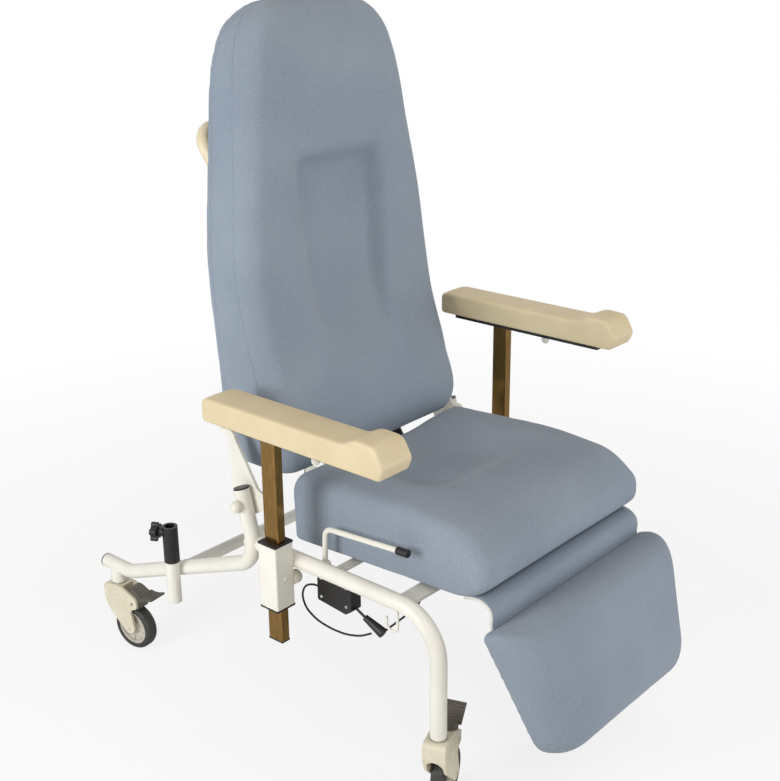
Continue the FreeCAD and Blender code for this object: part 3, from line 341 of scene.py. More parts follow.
def side_profile(corners, arc_steps, side_steps):
    """A profile seen from the side, from corners given as (y, z, rounding)."""
    return rounded_loop([(0, y, z) for y, z, rounding in corners], [c[2] for c in corners],
                        arc_steps, side_steps)


def modify(piece, kind, **settings):
    """Shapes a piece by one modifier, and keeps the result as a plain mesh."""
    modifier = piece.modifiers.new("shape", kind)
    for name, value in settings.items():
        setattr(modifier, name, value)
    shaped = bpy.data.meshes.new_from_object(piece.evaluated_get(bpy.context.evaluated_depsgraph_get()))
    piece.modifiers.clear()
    old = piece.data
    piece.data = shaped
    bpy.data.meshes.remove(old)
    smooth_faces(shaped)


def coordinates(mesh):
    flat = np.zeros(len(mesh.vertices) * 3, np.float32)
    mesh.vertices.foreach_get("co", flat)
    return flat.reshape(-1, 3)


def surface_of(mesh):
    return BVHTree.FromPolygons([v.co for v in mesh.vertices], [p.vertices[:] for p in mesh.polygons])


def even_out(piece, rounds):
    modify(piece, "SMOOTH", iterations=rounds, factor=0.5)


# Cushion covers: cloth stretched over foam, with sewn seams

cover_travel = 4.0
cover_pressure = 4
cover_frames = 20


def swell(piece, freedom):
    """Cloth under pressure swells most where nothing holds it. The swelling is scaled so that no point
    leaves the foam by more than the cover's travel, and by the freedom that each place has."""
    foam = coordinates(piece.data)
    cover = piece.modifiers.new("cover", "CLOTH")
    cover.settings.quality = 4
    cover.settings.use_pressure = True
    cover.settings.uniform_pressure_force = cover_pressure
    cover.settings.effector_weights.gravity = 0
    scene = bpy.context.scene
    for step in range(1, cover_frames + 1):
        scene.frame_set(step)
    swollen = piece.evaluated_get(bpy.context.evaluated_depsgraph_get()).to_mesh()
    shift = coordinates(swollen) - foam
    reach = np.linalg.norm(shift, axis=1, keepdims=True)
    scaled = np.minimum(reach * cover_travel * MM / np.percentile(reach, 98), cover_travel * MM)
    share = freedom(*((foam - np.array((0, datum_y, 0))) / MM).T)
    piece.modifiers.clear()
    placed = foam + shift / np.maximum(reach, 1e-9) * scaled * share[:, None]
    piece.data.vertices.foreach_set("co", placed.astype(np.float32).ravel())
    scene.frame_set(1)


def stretch_cover(piece, cell, freedom):
    """Pulls an evenly meshed cover over its foam."""
    foam = surface_of(piece.data)
    modify(piece, "REMESH", mode="VOXEL", voxel_size=cell * MM)
    even_out(piece, 2)
    for vertex in piece.data.vertices:
        vertex.co = foam.find_nearest(vertex.co)[0]
    even_out(piece, 1)
    swell(piece, freedom)
    even_out(piece, 1)
    modify(piece, "SUBSURF", levels=1, render_levels=1)


def spaced(line, step):
    """Points along a line of points, about a step apart."""
    points = []
    for start, end in zip(line, line[1:]):
        count = max(1, round((end - start).length / (step * MM)))
        points += [start.lerp(end, k / count) for k in range(count)]
    return points + [line[-1]]


def sew(piece, lines):
    """Sinks sewn seams into a cover, and gives the lines back as they lie in it."""
    step, width, depth = 2.0, 2.4, 1.5
    mesh = piece.data
    surface = surface_of(mesh)
    laid = [[surface.find_nearest(p)[0] for p in spaced(line, step)] for line in lines]
    points = [p for line in laid for p in line]
    nearest = KDTree(len(points))
    for i, point in enumerate(points):
        nearest.insert(point, i)
    nearest.balance()
    places = coordinates(mesh)
    for vertex in mesh.vertices:
        distance = nearest.find(vertex.co)[2] / MM
        if distance < 3 * width:
            sunk = depth * MM * math.exp(-(distance / width) ** 2)
            places[vertex.index] -= np.array(vertex.normal) * sunk
    mesh.vertices.foreach_set("co", places.ravel())
    mesh.update()
    sewn = surface_of(mesh)
    return [[sewn.find_nearest(p)[0] for p in line] for line in laid]


# Things that repeat: small parts set out by Geometry Nodes on marks or along lines

def sized_tree(name, sizes):
    """A Geometry Nodes tree with a geometry, named sizes and a material as its inputs."""
    tree = bpy.data.node_groups.new(name, "GeometryNodeTree")
    tree.is_modifier = True
    kinds = [("Geometry", "Geometry")] + [(size, "Float") for size in sizes] + [("Material", "Material")]
    for label, kind in kinds:
        tree.interface.new_socket(label, in_out="INPUT", socket_type="NodeSocket" + kind)
    tree.interface.new_socket("Geometry", in_out="OUTPUT", socket_type="NodeSocketGeometry")
    return tree, tree.nodes.new("NodeGroupInput").outputs


def set_out(tree, inputs, points, piece, turn):
    """Ends a tree: one piece on each point, made real and painted."""
    placed = add(tree, "GeometryNodeInstanceOnPoints",
                 {"Points": points, "Instance": piece, "Rotation": turn})
    real = add(tree, "GeometryNodeRealizeInstances", {"Geometry": placed.outputs[0]})
    painted = add(tree, "GeometryNodeSetMaterial",
                  {"Geometry": real.outputs[0], "Material": inputs["Material"]})
    add(tree, "NodeGroupOutput", {0: painted.outputs[0]})
    return tree


def facing(tree):
    """The turn that a mark asks for: its own z outwards and its own x along its run."""
    out = add(tree, "GeometryNodeInputNamedAttribute", {"Name": "out"}, data_type="FLOAT_VECTOR")
    run = add(tree, "GeometryNodeInputNamedAttribute", {"Name": "run"}, data_type="FLOAT_VECTOR")
    return add(tree, "FunctionNodeAxesToRotation",
               {"Primary Axis": out.outputs[0], "Secondary Axis": run.outputs[0]},
               primary_axis="Z", secondary_axis="X").outputs[0]


def steps_along(tree, size):
    """Points at even steps along lines, and the turn that follows each line."""
    line = add(tree, "GeometryNodeMeshToCurve", {"Mesh": size["Geometry"]})
    steps = add(tree, "GeometryNodeResampleCurve", {"Curve": line.outputs[0], "Length": size["Spacing"]},
                mode="LENGTH")
    heading = add(tree, "GeometryNodeInputTangent")
    turn = add(tree, "FunctionNodeAlignRotationToVector", {"Vector": heading.outputs[0]}, axis="Z")
    return steps.outputs[0], turn.outputs[0]


def stitch_tree():
    tree, size = sized_tree("sewn_stitches", ["Spacing", "Length", "Thread"])
    steps, turn = steps_along(tree, size)
    stitch = add(tree, "GeometryNodeMeshCylinder",
                 {"Vertices": 6, "Radius": size["Thread"], "Depth": size["Length"]})
    return set_out(tree, size, steps, stitch.outputs[0], turn)


def weld_tree():
    tree, size = sized_tree("weld_beads", ["Spacing", "Radius"])
    steps, turn = steps_along(tree, size)
    bead = add(tree, "GeometryNodeMeshIcoSphere", {"Radius": size["Radius"], "Subdivisions": 2})
    return set_out(tree, size, steps, bead.outputs[0], turn)


def rib_tree():
    """Half-round ribs, sunk to their middle."""
    tree, size = sized_tree("moulded_ribs", ["Length", "Half width", "Height"])
    rod = add(tree, "GeometryNodeMeshCylinder", {"Vertices": 12, "Radius": 1.0, "Depth": size["Length"]})
    section = add(tree, "ShaderNodeCombineXYZ", {"X": size["Height"], "Y": size["Half width"], "Z": 1.0})
    shaped = add(tree, "GeometryNodeTransform", {"Geometry": rod.outputs[0], "Scale": section.outputs[0]})
    lying = add(tree, "GeometryNodeTransform",
                {"Geometry": shaped.outputs[0], "Rotation": (0, math.radians(-90), 0)})
    return set_out(tree, size, size["Geometry"], lying.outputs[0], facing(tree))


def rivet_tree():
    """Domed rivet heads."""
    tree, size = sized_tree("domed_rivets", ["Radius", "Rise"])
    ball = add(tree, "GeometryNodeMeshUVSphere", {"Segments": 16, "Rings": 8, "Radius": 1.0})
    dome = add(tree, "ShaderNodeCombineXYZ", {"X": size["Radius"], "Y": size["Radius"], "Z": size["Rise"]})
    head = add(tree, "GeometryNodeTransform", {"Geometry": ball.outputs[0], "Scale": dome.outputs[0]})
    return set_out(tree, size, size["Geometry"], head.outputs[0], facing(tree))


def screw_tree():
    """Round screw heads with a six-sided socket."""
    tree, size = sized_tree("socket_screws", ["Radius", "Rise", "Socket"])
    head = add(tree, "GeometryNodeMeshCylinder",
               {"Vertices": 24, "Radius": size["Radius"], "Depth": size["Rise"]})
    key = add(tree, "GeometryNodeMeshCylinder",
              {"Vertices": 6, "Radius": size["Socket"], "Depth": size["Rise"]})
    lift = add(tree, "ShaderNodeMath", {0: size["Rise"], 1: 0.5}, operation="MULTIPLY")
    shift = add(tree, "ShaderNodeCombineXYZ", {"Z": lift.outputs[0]})
    raised = add(tree, "GeometryNodeTransform",
                 {"Geometry": key.outputs[0], "Translation": shift.outputs[0]})
    cut = add(tree, "GeometryNodeMeshBoolean", {"Mesh 1": head.outputs[0], "Mesh 2": raised.outputs[0]},
              operation="DIFFERENCE")
    return set_out(tree, size, size["Geometry"], cut.outputs[0], facing(tree))


def marks(places):
    """Loose points, each with the way its piece faces and runs."""
    mesh = bpy.data.meshes.new("marks")
    mesh.from_pydata([p for p, out, run in places], [], [])
    for k, label in ((1, "out"), (2, "run")):
        layer = mesh.attributes.new(label, "FLOAT_VECTOR", "POINT")
        layer.data.foreach_set("vector", [c for place in places for c in place[k]])
    return mesh


def thin_lines(lines):
    mesh = bpy.data.meshes.new("lines")
    points, edges = [], []
    for line in lines:
        first = len(points)
        points += line
        edges += [(first + i, first + i + 1) for i in range(len(line) - 1)]
    mesh.from_pydata(points, edges, [])
    return mesh


def grow(name, tree, base, sizes, material, body):
    """Runs a tree on marks or lines and keeps the result as a plain mesh."""
    maker = in_scene(name + "_maker", base)
    growth = maker.modifiers.new("growth", "NODES")
    growth.node_group = tree
    given = {size: value * MM for size, value in sizes.items()}
    given["Material"] = material
    for socket in tree.interface.items_tree:
        if socket.in_out == "INPUT" and socket.name in given:
            growth[socket.identifier] = given[socket.name]
    made = bpy.data.meshes.new_from_object(maker.evaluated_get(bpy.context.evaluated_depsgraph_get()))
    bpy.data.objects.remove(maker)
    return new_piece(name, made, material, body)


stitches, welds, ribs, rivets, screws = stitch_tree(), weld_tree(), rib_tree(), rivet_tree(), screw_tree()


# Backrest: one cover over foam and frame, hollowed for the back, with a rounded head end.
# Stations up the back are (height, half width) for the two faces and (height, y) for their lines.

back_low_z, back_high_z = (corner.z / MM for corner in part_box("backrest_cushion"))
front_half = [(497, 245), (525, 254), (640, 258), (760, 260), (850, 260), (980, 247), (1110, 222),
              (1250, 188), (1285, 176), (1310, 161), (1328, 143), (1339, 125), (1345, 104)]
rear_half = [(497, 249), (700, 249), (867, 249), (997, 237), (1070, 230), (1210, 216), (1245, 209),
             (1270, 198), (1295, 184), (1311, 168), (1327, 142), (1338, 120), (1345, 100)]
front_line = [(497, 154), (525, 141), (640, 159), (760, 196), (850, 213), (980, 225), (1110, 237),
              (1250, 249), (1285, 255), (1310, 262), (1328, 269), (1339, 277), (1345, 288)]
rear_line = [(497, 314), (640, 326), (790, 338), (930, 349), (1100, 350), (1250, 349), (1318, 347),
             (1336, 341), (1345, 330)]
back_rounding = [(497, 30), (640, 36), (980, 34), (1250, 26), (1345, 16)]
rear_rounding_share, most_rounding_share = 0.3, 0.45
back_foot_round = 12
back_end_band = 30
recess_half = [(600, 104), (700, 108), (850, 116), (1060, 124)]
recess_low, recess_high, recess_depth, recess_fade = 620, 1072, 32, 190
wall_inside, wall_outside = 36, 6
brow_below, brow_above = 34, 10
crown_rise = 2
lumbar_pad, head_pad = (620, 110), (1180, 90)
pad_rise = 9
front_seam_set, rear_seam_set = 44, 16


def back_recess(x, z):
    half = along(recess_half, min(max(z, recess_half[0][0]), recess_half[-1][0]))
    within = 1 - ease(half - wall_inside, half + wall_outside, abs(x))
    below_top = 1 - ease(recess_high - brow_below, recess_high + brow_above, z)
    return recess_depth * within * (ease(recess_low, recess_low + recess_fade, z) * below_top)


def back_crown(x, z, half):
    """How far the front stands out between its side ridges."""
    share = max(0, 1 - (x / half) ** 2)
    rise = crown_rise
    for middle, spread in (lumbar_pad, head_pad):
        rise += pad_rise * math.exp(-((z - middle) / spread) ** 2)
    return share * rise


def back_levels():
    foot, top = back_low_z + back_end_band, back_high_z - back_end_band
    levels = list(np.linspace(back_low_z, foot, 9)) + list(np.linspace(foot, top, 70)[1:-1])
    return levels + list(np.linspace(top, back_high_z, 11))


def back_section(z):
    """Front and rear places and half widths of the cover at a height, with its foot drawn in."""
    pull = drawn_in(back_low_z + back_foot_round - z, back_foot_round)
    return (along(front_line, z) + pull, along(rear_line, z) - pull, along(front_half, z) - pull,
            along(rear_half, z) - pull)


def back_rings():
    rings = []
    for z in back_levels():
        front, rear, wide_front, wide_rear = back_section(z)
        rounding = min(along(back_rounding, z), most_rounding_share * (rear - front))
        corners = [(-wide_front, front, z), (wide_front, front, z),
                   (wide_rear, rear, z), (-wide_rear, rear, z)]
        ring = rounded_loop(corners, [rounding] * 2 + [rounding * rear_rounding_share] * 2, 6, 60)
        shaped = []
        for p in ring:
            ahead = 1 - ease(0, rounding, p.y - front)
            push = (back_recess(p.x, z) - back_crown(p.x, z, wide_front)) * ahead
            shaped.append(at(p.x, p.y + push, z))
        rings.append(shaped)
    return rings


def back_seam(from_front, from_rear):
    """A line outside the cover, for a seam up one side of the back, over its head and down the other."""
    outside = 20
    right = []
    for z in np.linspace(back_low_z + back_end_band, back_high_z - 14, 60):
        front, rear, wide_front, wide_rear = back_section(z)
        y = front + from_front if from_front else rear - from_rear
        right.append(at(-max(wide_front, wide_rear) - outside, y, z))
    over = right[-1].copy()
    over.x, over.z = over.x * 0.5, (back_high_z + outside) * MM
    left = [Vector((-p.x, p.y, p.z)) for p in reversed(right)]
    return right + [over, Vector((-over.x, over.y, over.z))] + left


def backrest_cover():
    piece = skin("backrest_upholstery", back_rings(), cloth, "backrest")
    board_zs, board_ys = (497, 930, 1330), (314, 350, 348)

    def free(x, y, z):
        """Little freedom near the board that the cover is fixed to."""
        return 1 - 0.9 * ease(-40, -6, y - np.interp(z, board_zs, board_ys))

    stretch_cover(piece, cell=7.2, freedom=free)
    seams = sew(piece, [back_seam(front_seam_set, 0), back_seam(0, rear_seam_set)])
    grow("backrest_stitches", stitches, thin_lines(seams), {"Spacing": 6.0, "Length": 4.2, "Thread": 0.5},
         thread, "backrest")
    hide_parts("backrest_cushion", "backrest_board")


# Seat: a dished top and a waterfall front, closed underneath by a dust cover.
# The profile's corners are (y, z, rounding), before the seat is tilted.

seat_tilt = math.radians(2.5)
seat_plane = 381
seat_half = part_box("seat_cushion")[1].x / MM
seat_corners = [(138, 383, 8), (138, 518, 26), (-130, 523, 900), (-266, 504, 150), (-318, 455, 36),
                (-318, 415, 24), (-288, 390, 30), (-262, 383, 30)]
seat_side_round = 26
seat_middle_y = -90
seat_ends, seat_top, seat_foot = (20, 160), (440, 500), (seat_plane, 430)
front_draw, rear_draw, top_draw, foot_draw = 0.8, 0.25, 0.9, 0.2
dish_depth = 40
dish_side, dish_front, dish_rear = (70, 185), (-175, -60), (60, 128)
dish_rear_share = 0.75


def seat_world(x, y, z):
    """A point of the level seat, where the tilted seat has it."""
    return turned(x, y, z - seat_plane, 0, seat_plane, -seat_tilt)


def seat_dish(x, y):
    within = 1 - ease(*dish_side, abs(x))
    fore_aft = ease(*dish_front, y) * (1 - ease(*dish_rear, y) * dish_rear_share)
    return dish_depth * within * fore_aft


def seat_ring(x, pull):
    """The seat's profile at one place across, drawn in towards its rounded sides, least at the rear."""
    shaped = []
    for p in side_profile(seat_corners, 5, 12):
        high = ease(*seat_top, p.z)
        low = 1 - ease(*seat_foot, p.z)
        front = front_draw * ease(*seat_ends, seat_middle_y - p.y)
        rear = rear_draw * ease(*seat_ends, p.y - seat_middle_y)
        z = p.z - high * (pull * top_draw + seat_dish(x, p.y)) + pull * foot_draw * low
        shaped.append(seat_world(x, p.y + pull * (front - rear), z))
    return shaped


def seat_cover():
    rings = [seat_ring(x, pull) for x, pull in across(seat_half, seat_side_round, 61)]
    piece = skin("seat_upholstery", rings, cloth, "chair_frame")

    def free(x, y, z):
        """Little freedom near the board under the seat."""
        return 0.1 + 0.9 * ease(4, 40, z - (seat_plane - y * math.sin(seat_tilt)))

    stretch_cover(piece, cell=6.0, freedom=free)
    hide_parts("seat_cushion", "seat_board")


# Legrest: a bevelled pad, narrower at the foot

legrest_angle = math.radians(69)
legrest_top_y, legrest_top_z = -310, 347
legrest_length, legrest_thick = 255, 85
legrest_top_half, legrest_foot_half = 260, 203
legrest_bevel, legrest_edge = 42, 20
legrest_crown, legrest_crown_reach = 6, 75
legrest_foot_round = 56


def legrest_world(x, y, z):
    """A point of the upright panel, its back at y 0 and its top at z 0, where the legrest hangs."""
    return turned(x, y, z, legrest_top_y, legrest_top_z, legrest_angle - math.pi / 2)


def legrest_ring(depth, pull):
    """The panel's outline at one depth, drawn in by pull."""
    top, foot, low = legrest_top_half - pull, legrest_foot_half - pull, pull - legrest_length
    top_round = 10 + pull * 0.7
    ring = rounded_loop([(-top, 0, -pull), (top, 0, -pull), (foot, 0, low), (-foot, 0, low)],
                        [top_round] * 2 + [legrest_foot_round] * 2, 7, 24)
    return [legrest_world(p.x, -depth, p.z) for p in ring]


def legrest_rings():
    levels = [(2, 1), (5, 0), (12, 0), (legrest_edge, 0)]
    for degrees in range(9, 91, 9):
        a = math.radians(degrees)
        levels.append((legrest_edge + (legrest_thick - legrest_edge) * math.sin(a),
                       legrest_bevel * (1 - math.cos(a))))
    for share in (0.2, 0.4, 0.6, 0.8, 1.0):
        levels.append((legrest_thick + legrest_crown * (1 - (1 - share) ** 2),
                       legrest_bevel + legrest_crown_reach * share))
    return [legrest_ring(depth, pull) for depth, pull in levels]


def legrest_cover():
    piece = skin("legrest_upholstery", legrest_rings(), cloth, "legrest")

    def free(x, y, z):
        """Little freedom near the board behind the legrest."""
        turn = math.pi / 2 - legrest_angle
        depth = (z - legrest_top_z) * math.sin(turn) - (y - legrest_top_y) * math.cos(turn)
        return 0.1 + 0.9 * ease(3, 30, depth)

    stretch_cover(piece, cell=5.0, freedom=free)
    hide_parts("legrest_cushion", "legrest_board")


# Sheets: the flap between seat and legrest with its lining and taped ends, and the dust covers

flap_half = 234
flap_line = [(-258, 393), (-275, 397), (-292, 398), (-306, 393), (-315, 384), (-318, 371), (-317, 359),
             (-319, 349)]
flap_steps = 24
flap_thick, lining_set, lining_thick = 2.4, 2.6, 0.8
tape_width, tape_bulge, tape_outside, tape_inside = 4, 1.2, -0.8, 4.6
dust_cover_thick = 0.6
staple_edge, staple_step = 8, 42


def flap_curve(inside):
    """The flap's line, set in from its outer face."""
    curve = []
    for k in range(flap_steps + 1):
        t = k / flap_steps * (len(flap_line) - 1)
        spot = [along([(i, p[axis]) for i, p in enumerate(flap_line)], t) for axis in (0, 1)]
        curve.append(Vector(spot))
    moved = []
    for k, point in enumerate(curve):
        heading = (curve[min(k + 1, flap_steps)] - curve[max(k - 1, 0)]).normalized()
        moved.append(point + Vector((-heading.y, heading.x)) * inside)
    return moved


def cloth_sheet(name, columns, thickness, material, body):
    """A sheet through columns of points, thickened inwards."""
    bm = bmesh.new()
    grid = [[bm.verts.new(p) for p in column] for column in columns]
    for left, right in zip(grid, grid[1:]):
        for k in range(len(left) - 1):
            bm.faces.new((left[k], right[k], right[k + 1], left[k + 1]))
    piece = new_piece(name, kept_mesh(name, bm), material, body)
    modify(piece, "SOLIDIFY", thickness=thickness * MM, offset=-1)
    return piece


def flap_sheet(name, inside, half, thickness, material):
    curve = flap_curve(inside)
    columns = [[at(x, p.x, p.y) for p in curve] for x in np.linspace(-half, half, 61)]
    piece = cloth_sheet(name, columns, thickness, material, "chair_frame")
    return piece


def flap_tape(side, name):
    """Tape folded over the flap's cut end."""
    fold = flap_half + tape_bulge
    section = ((flap_half - tape_width, 0), (flap_half, 0), (fold, 0.3), (fold, 0.7), (flap_half, 1),
               (flap_half - tape_width, 1))
    rings = []
    for outer, inner in zip(flap_curve(tape_outside), flap_curve(tape_inside)):
        ring = []
        for x, share in section:
            spot = outer.lerp(inner, share)
            ring.append(at(side * x, spot.x, spot.y))
        rings.append(ring)
    return skin("flap_tape_" + name, rings, tape, "chair_frame")


def flap_pieces():
    outer = flap_sheet("flap_strip", 0, flap_half, flap_thick, cloth)
    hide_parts("flap")
    lining = flap_sheet("flap_lining", lining_set, flap_half - 1, lining_thick, underside)
    for piece in [outer, lining] + [flap_tape(side, name) for side, name in sides]:
        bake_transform(piece)


def staple_down(name, corners, out, rise, body):
    """Staples along a border with these corners, in line with it."""
    line = spaced(corners + corners[:1], staple_step)
    places = [(here, out, (ahead - here).normalized()) for here, ahead in zip(line, line[1:])]
    grow(name, ribs, marks(places), {"Length": 10, "Half width": 0.5, "Height": rise}, zinc_metal, body)


def seat_dust_cover():
    half, front, rear, drop = 222, -252, 126, 0.3
    xs, ys = np.linspace(-half, half, 45), np.linspace(front, rear, 39)
    columns = [[seat_world(x, y, seat_plane + drop + dust_cover_thick) for y in ys] for x in xs]
    piece = cloth_sheet("seat_dust_cover", columns, dust_cover_thick, underside, "chair_frame")
    wide, near, far = half - staple_edge, front + staple_edge, rear - staple_edge
    corners = [seat_world(x, y, seat_plane + drop)
               for x, y in ((-wide, near), (wide, near), (wide, far), (-wide, far))]
    down = seat_world(0, 0, 0) - seat_world(0, 0, 1)
    staple_down("seat_staples", corners, down.normalized(), 0.5, "chair_frame")


def legrest_dust_cover():
    top, foot, high, low, depth, staple_depth = 232, 186, -14, -238, 1.0, 0.4
    columns = []
    for x in np.linspace(-1, 1, 45):
        columns.append([legrest_world(x * (top + (foot - top) * s), -depth, high + (low - high) * s)
                        for s in np.linspace(0, 1, 31)])
    piece = cloth_sheet("legrest_dust_cover", columns, -dust_cover_thick, underside, "legrest")
    wide, narrow = top - staple_edge, foot - staple_edge
    upper, lower = high - staple_edge, low + staple_edge
    corners = [legrest_world(x, -staple_depth, z)
               for x, z in ((-wide, upper), (wide, upper), (narrow, lower), (-narrow, lower))]
    out = legrest_world(0, 1, 0) - legrest_world(0, 0, 0)
    staple_down("legrest_staples", corners, out.normalized(), 0.3, "legrest")


# Armrest pads: moulded foam with a raised front end. The profile's corners are (y, z, rounding).

pad_x = 341.7
pad_half = 38
pad_edge = 5
pad_crown = 1.5
pad_cell = 2.5
pad_ends, pad_shoulder, pad_foot, pad_top = (170, 215), (14, 36), (0, 10), (30, 42)
pad_corners = [(228, 0, 6), (228, 41, 10), (215, 45, 20), (-114, 45, 44), (-142, 59, 24), (-186, 57.5, 20),
               (-206, 24, 14), (-196, 0, 6)]


def pad_rings(low, side):
    rings = []
    for x, pull in across(pad_half, pad_edge, 13):
        crown = pad_crown * (1 - (x / pad_half) ** 2)
        shaped = []
        for p in side_profile(pad_corners, 6, 8):
            y = p.y - pull * np.sign(p.y) * ease(*pad_ends, abs(p.y))
            z = p.z - pull * ease(*pad_shoulder, p.z) + pull * 0.3 * (1 - ease(*pad_foot, p.z))
            shaped.append(at(side * pad_x + x, y, low + z + crown * ease(*pad_top, p.z)))
        rings.append(shaped)
    return rings


def armrest_pads():
    for side, name in sides:
        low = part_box("armrest_pad_" + name)[0].z / MM
        piece = skin("armrest_cushion_" + name, pad_rings(low, side), foam_skin, "armrest_" + name)
        modify(piece, "REMESH", mode="VOXEL", voxel_size=pad_cell * MM)
        even_out(piece, 9)
        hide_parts("armrest_pad_" + name)


# Welds, screws, rivets and ribs on the pieces that stay as they were built.
# A caster has its place on the floor, its turn about the stem and the tip of its pedal, in degrees.

rail_x, rear_tube_x, rail_z = 304, 311, 380
rear_tube_slope = math.radians(21.7)
casters = {"front_R": (-304, -259, 20, -22), "front_L": (304, -259, 150, -22),
           "rear_R": (-311, 620, -82, 0), "rear_L": (311, 620, -75, 0)}
pedal_pin = Vector((52, 0, 114))
wheel_trail, wheel_r, spoke_middle_r = 40, 50, 23
fork_rivets = ((-10, 130), (14, 130))
grip_start, grip_step, grip_count = 76, 6, 6
along_x, along_y, up = Vector((1, 0, 0)), Vector((0, 1, 0)), Vector((0, 0, 1))


def seated(surface, start, heading, run):
    """A mark where a line meets a surface, facing out of it."""
    spot, normal = surface.ray_cast(start, heading)[:2]
    return spot, normal, run


def crossbar_weld(side):
    """The line where the round crossbar meets the sloping round tube."""
    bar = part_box("rear_crossbar")
    middle = (bar[0] + bar[1]) / 2
    radius = (bar[1].z - bar[0].z) / 2 + 0.3 * MM
    ring = []
    for degrees in range(0, 361, 10):
        a = math.radians(degrees)
        reach = math.sqrt(tube_r ** 2 - (radius / MM * math.sin(a)) ** 2)
        y = middle.y + radius * math.cos(a - rear_tube_slope)
        z = middle.z + radius * math.sin(a - rear_tube_slope)
        ring.append(Vector((side * (rear_tube_x - reach) * MM, y, z)))
    return ring


def socket_welds(side):
    """Two runs of weld between the side rail and the armrest socket."""
    rise, near, far = 8, 71, 109
    x = side * (rail_x + math.sqrt(tube_r ** 2 - rise ** 2)) + side * 0.6
    return [[at(x, y, rail_z + way * rise) for y in (near, far)] for way in (-1, 1)]


def frame_welds():
    lines = []
    for side, name in sides:
        lines.append(crossbar_weld(side))
        lines += socket_welds(side)
    grow("frame_weld_beads", welds, thin_lines(lines), {"Spacing": 1.9, "Radius": 2.0}, white_coat,
         "chair_frame")


def frame_fasteners():
    bar_x, bar_ys, below = 150, (-215, -60, 90), 300
    rivet_z, outside = 356, -400
    box_ys, box_zs = (-32, 30), (312, 350)
    bars = surface_of(nodes["seat_frame"].data)
    heads = [seated(bars, at(side * bar_x, y, below), up, along_x) for side, name in sides for y in bar_ys]
    grow("seat_bar_screws", screws, marks(heads), {"Radius": 6.5, "Rise": 7, "Socket": 3.4}, zinc_metal,
         "chair_frame")
    sockets = surface_of(nodes["armrest_sockets"].data)
    domes = [seated(sockets, at(side * pad_x, 0, rivet_z), along_y, along_x) for side, name in sides]
    grow("socket_rivets", rivets, marks(domes), {"Radius": 4.5, "Rise": 2.2}, white_coat, "chair_frame")
    case = surface_of(nodes["release_box"].data)
    corners = [seated(case, at(outside, y, z), along_x, up) for y in box_ys for z in box_zs]
    grow("release_box_screws", screws, marks(corners), {"Radius": 3, "Rise": 2.4, "Socket": 1.5}, zinc_metal,
         "chair_frame")


def plate_fasteners():
    outside, head_z, head_ys = 400, 605, (293, 313)
    plates = surface_of(nodes["backrest_plates"].data)
    heads = [seated(plates, at(side * outside, y, head_z), -side * along_x, up)
             for side, name in sides for y in head_ys]
    grow("plate_screws", screws, marks(heads), {"Radius": 6, "Rise": 6, "Socket": 3.2}, zinc_metal,
         "backrest")


def knob_flutes():
    middle_x, count = 309, 16
    for side, name in sides:
        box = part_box("armrest_knob_" + name)
        centre = (box[0] + box[1]) / 2
        centre.x = side * middle_x * MM
        radius = (box[1].z - box[0].z) / 2
        places = []
        for k in range(count):
            a = math.radians(360 / count * k)
            out = Vector((0, math.cos(a), math.sin(a)))
            places.append((centre + out * radius, out, along_x))
        sizes = {"Length": 15, "Half width": 1.2, "Height": 1.0}
        grow("knob_flutes_" + name, ribs, marks(places), sizes, white_plastic, "knob_" + name)


def caster_details(name):
    """Rivets on the fork, spokes on the wheel and grip ribs on the pedal of one caster."""
    x, y, turn, tip = casters[name]
    home = Matrix.Translation(at(x, y, 0)) @ Matrix.Rotation(math.radians(turn), 4, "Z")
    pin = Matrix.Translation(pedal_pin * MM)
    tipped = home @ pin @ Matrix.Rotation(math.radians(tip), 4, "Y") @ pin.inverted()
    beside, above, spoke_count = 60, 200, 10

    def spot(frame_of, *local):
        return frame_of @ (Vector(local) * MM)

    def way(frame_of, *local):
        return frame_of.to_3x3() @ Vector(local)

    fork, wheel, pedal = (surface_of(nodes[name + part].data) for part in ("_fork", "_wheel", "_pedal"))
    domes, spokes, grips = [], [], []
    for side in (-1, 1):
        inward = way(home, 0, -side, 0)
        for ahead, height in fork_rivets:
            start = spot(home, ahead, side * beside, height)
            domes.append(seated(fork, start, inward, way(home, 1, 0, 0)))
        for k in range(spoke_count):
            a = math.radians(360 / spoke_count * (k + 0.5))
            out = way(home, math.cos(a), 0, math.sin(a))
            start = spot(home, wheel_trail + spoke_middle_r * math.cos(a), side * beside,
                         wheel_r + spoke_middle_r * math.sin(a))
            spokes.append(seated(wheel, start, inward, out))
    for k in range(grip_count):
        start = spot(tipped, grip_start + grip_step * k, 0, above)
        grips.append(seated(pedal, start, way(tipped, 0, 0, -1), way(tipped, 0, 1, 0)))
    grow(name + "_fork_rivets", rivets, marks(domes), {"Radius": 4, "Rise": 1.6}, cream_plastic,
         name + "_caster")
    grow(name + "_wheel_spokes", ribs, marks(spokes), {"Length": 15, "Half width": 1.5, "Height": 1.6},
         wheel_plastic, name + "_roller")
    grow(name + "_pedal_grips", ribs, marks(grips), {"Length": 34, "Half width": 1.2, "Height": 1.1},
         pedal_plastic, name + "_brake")


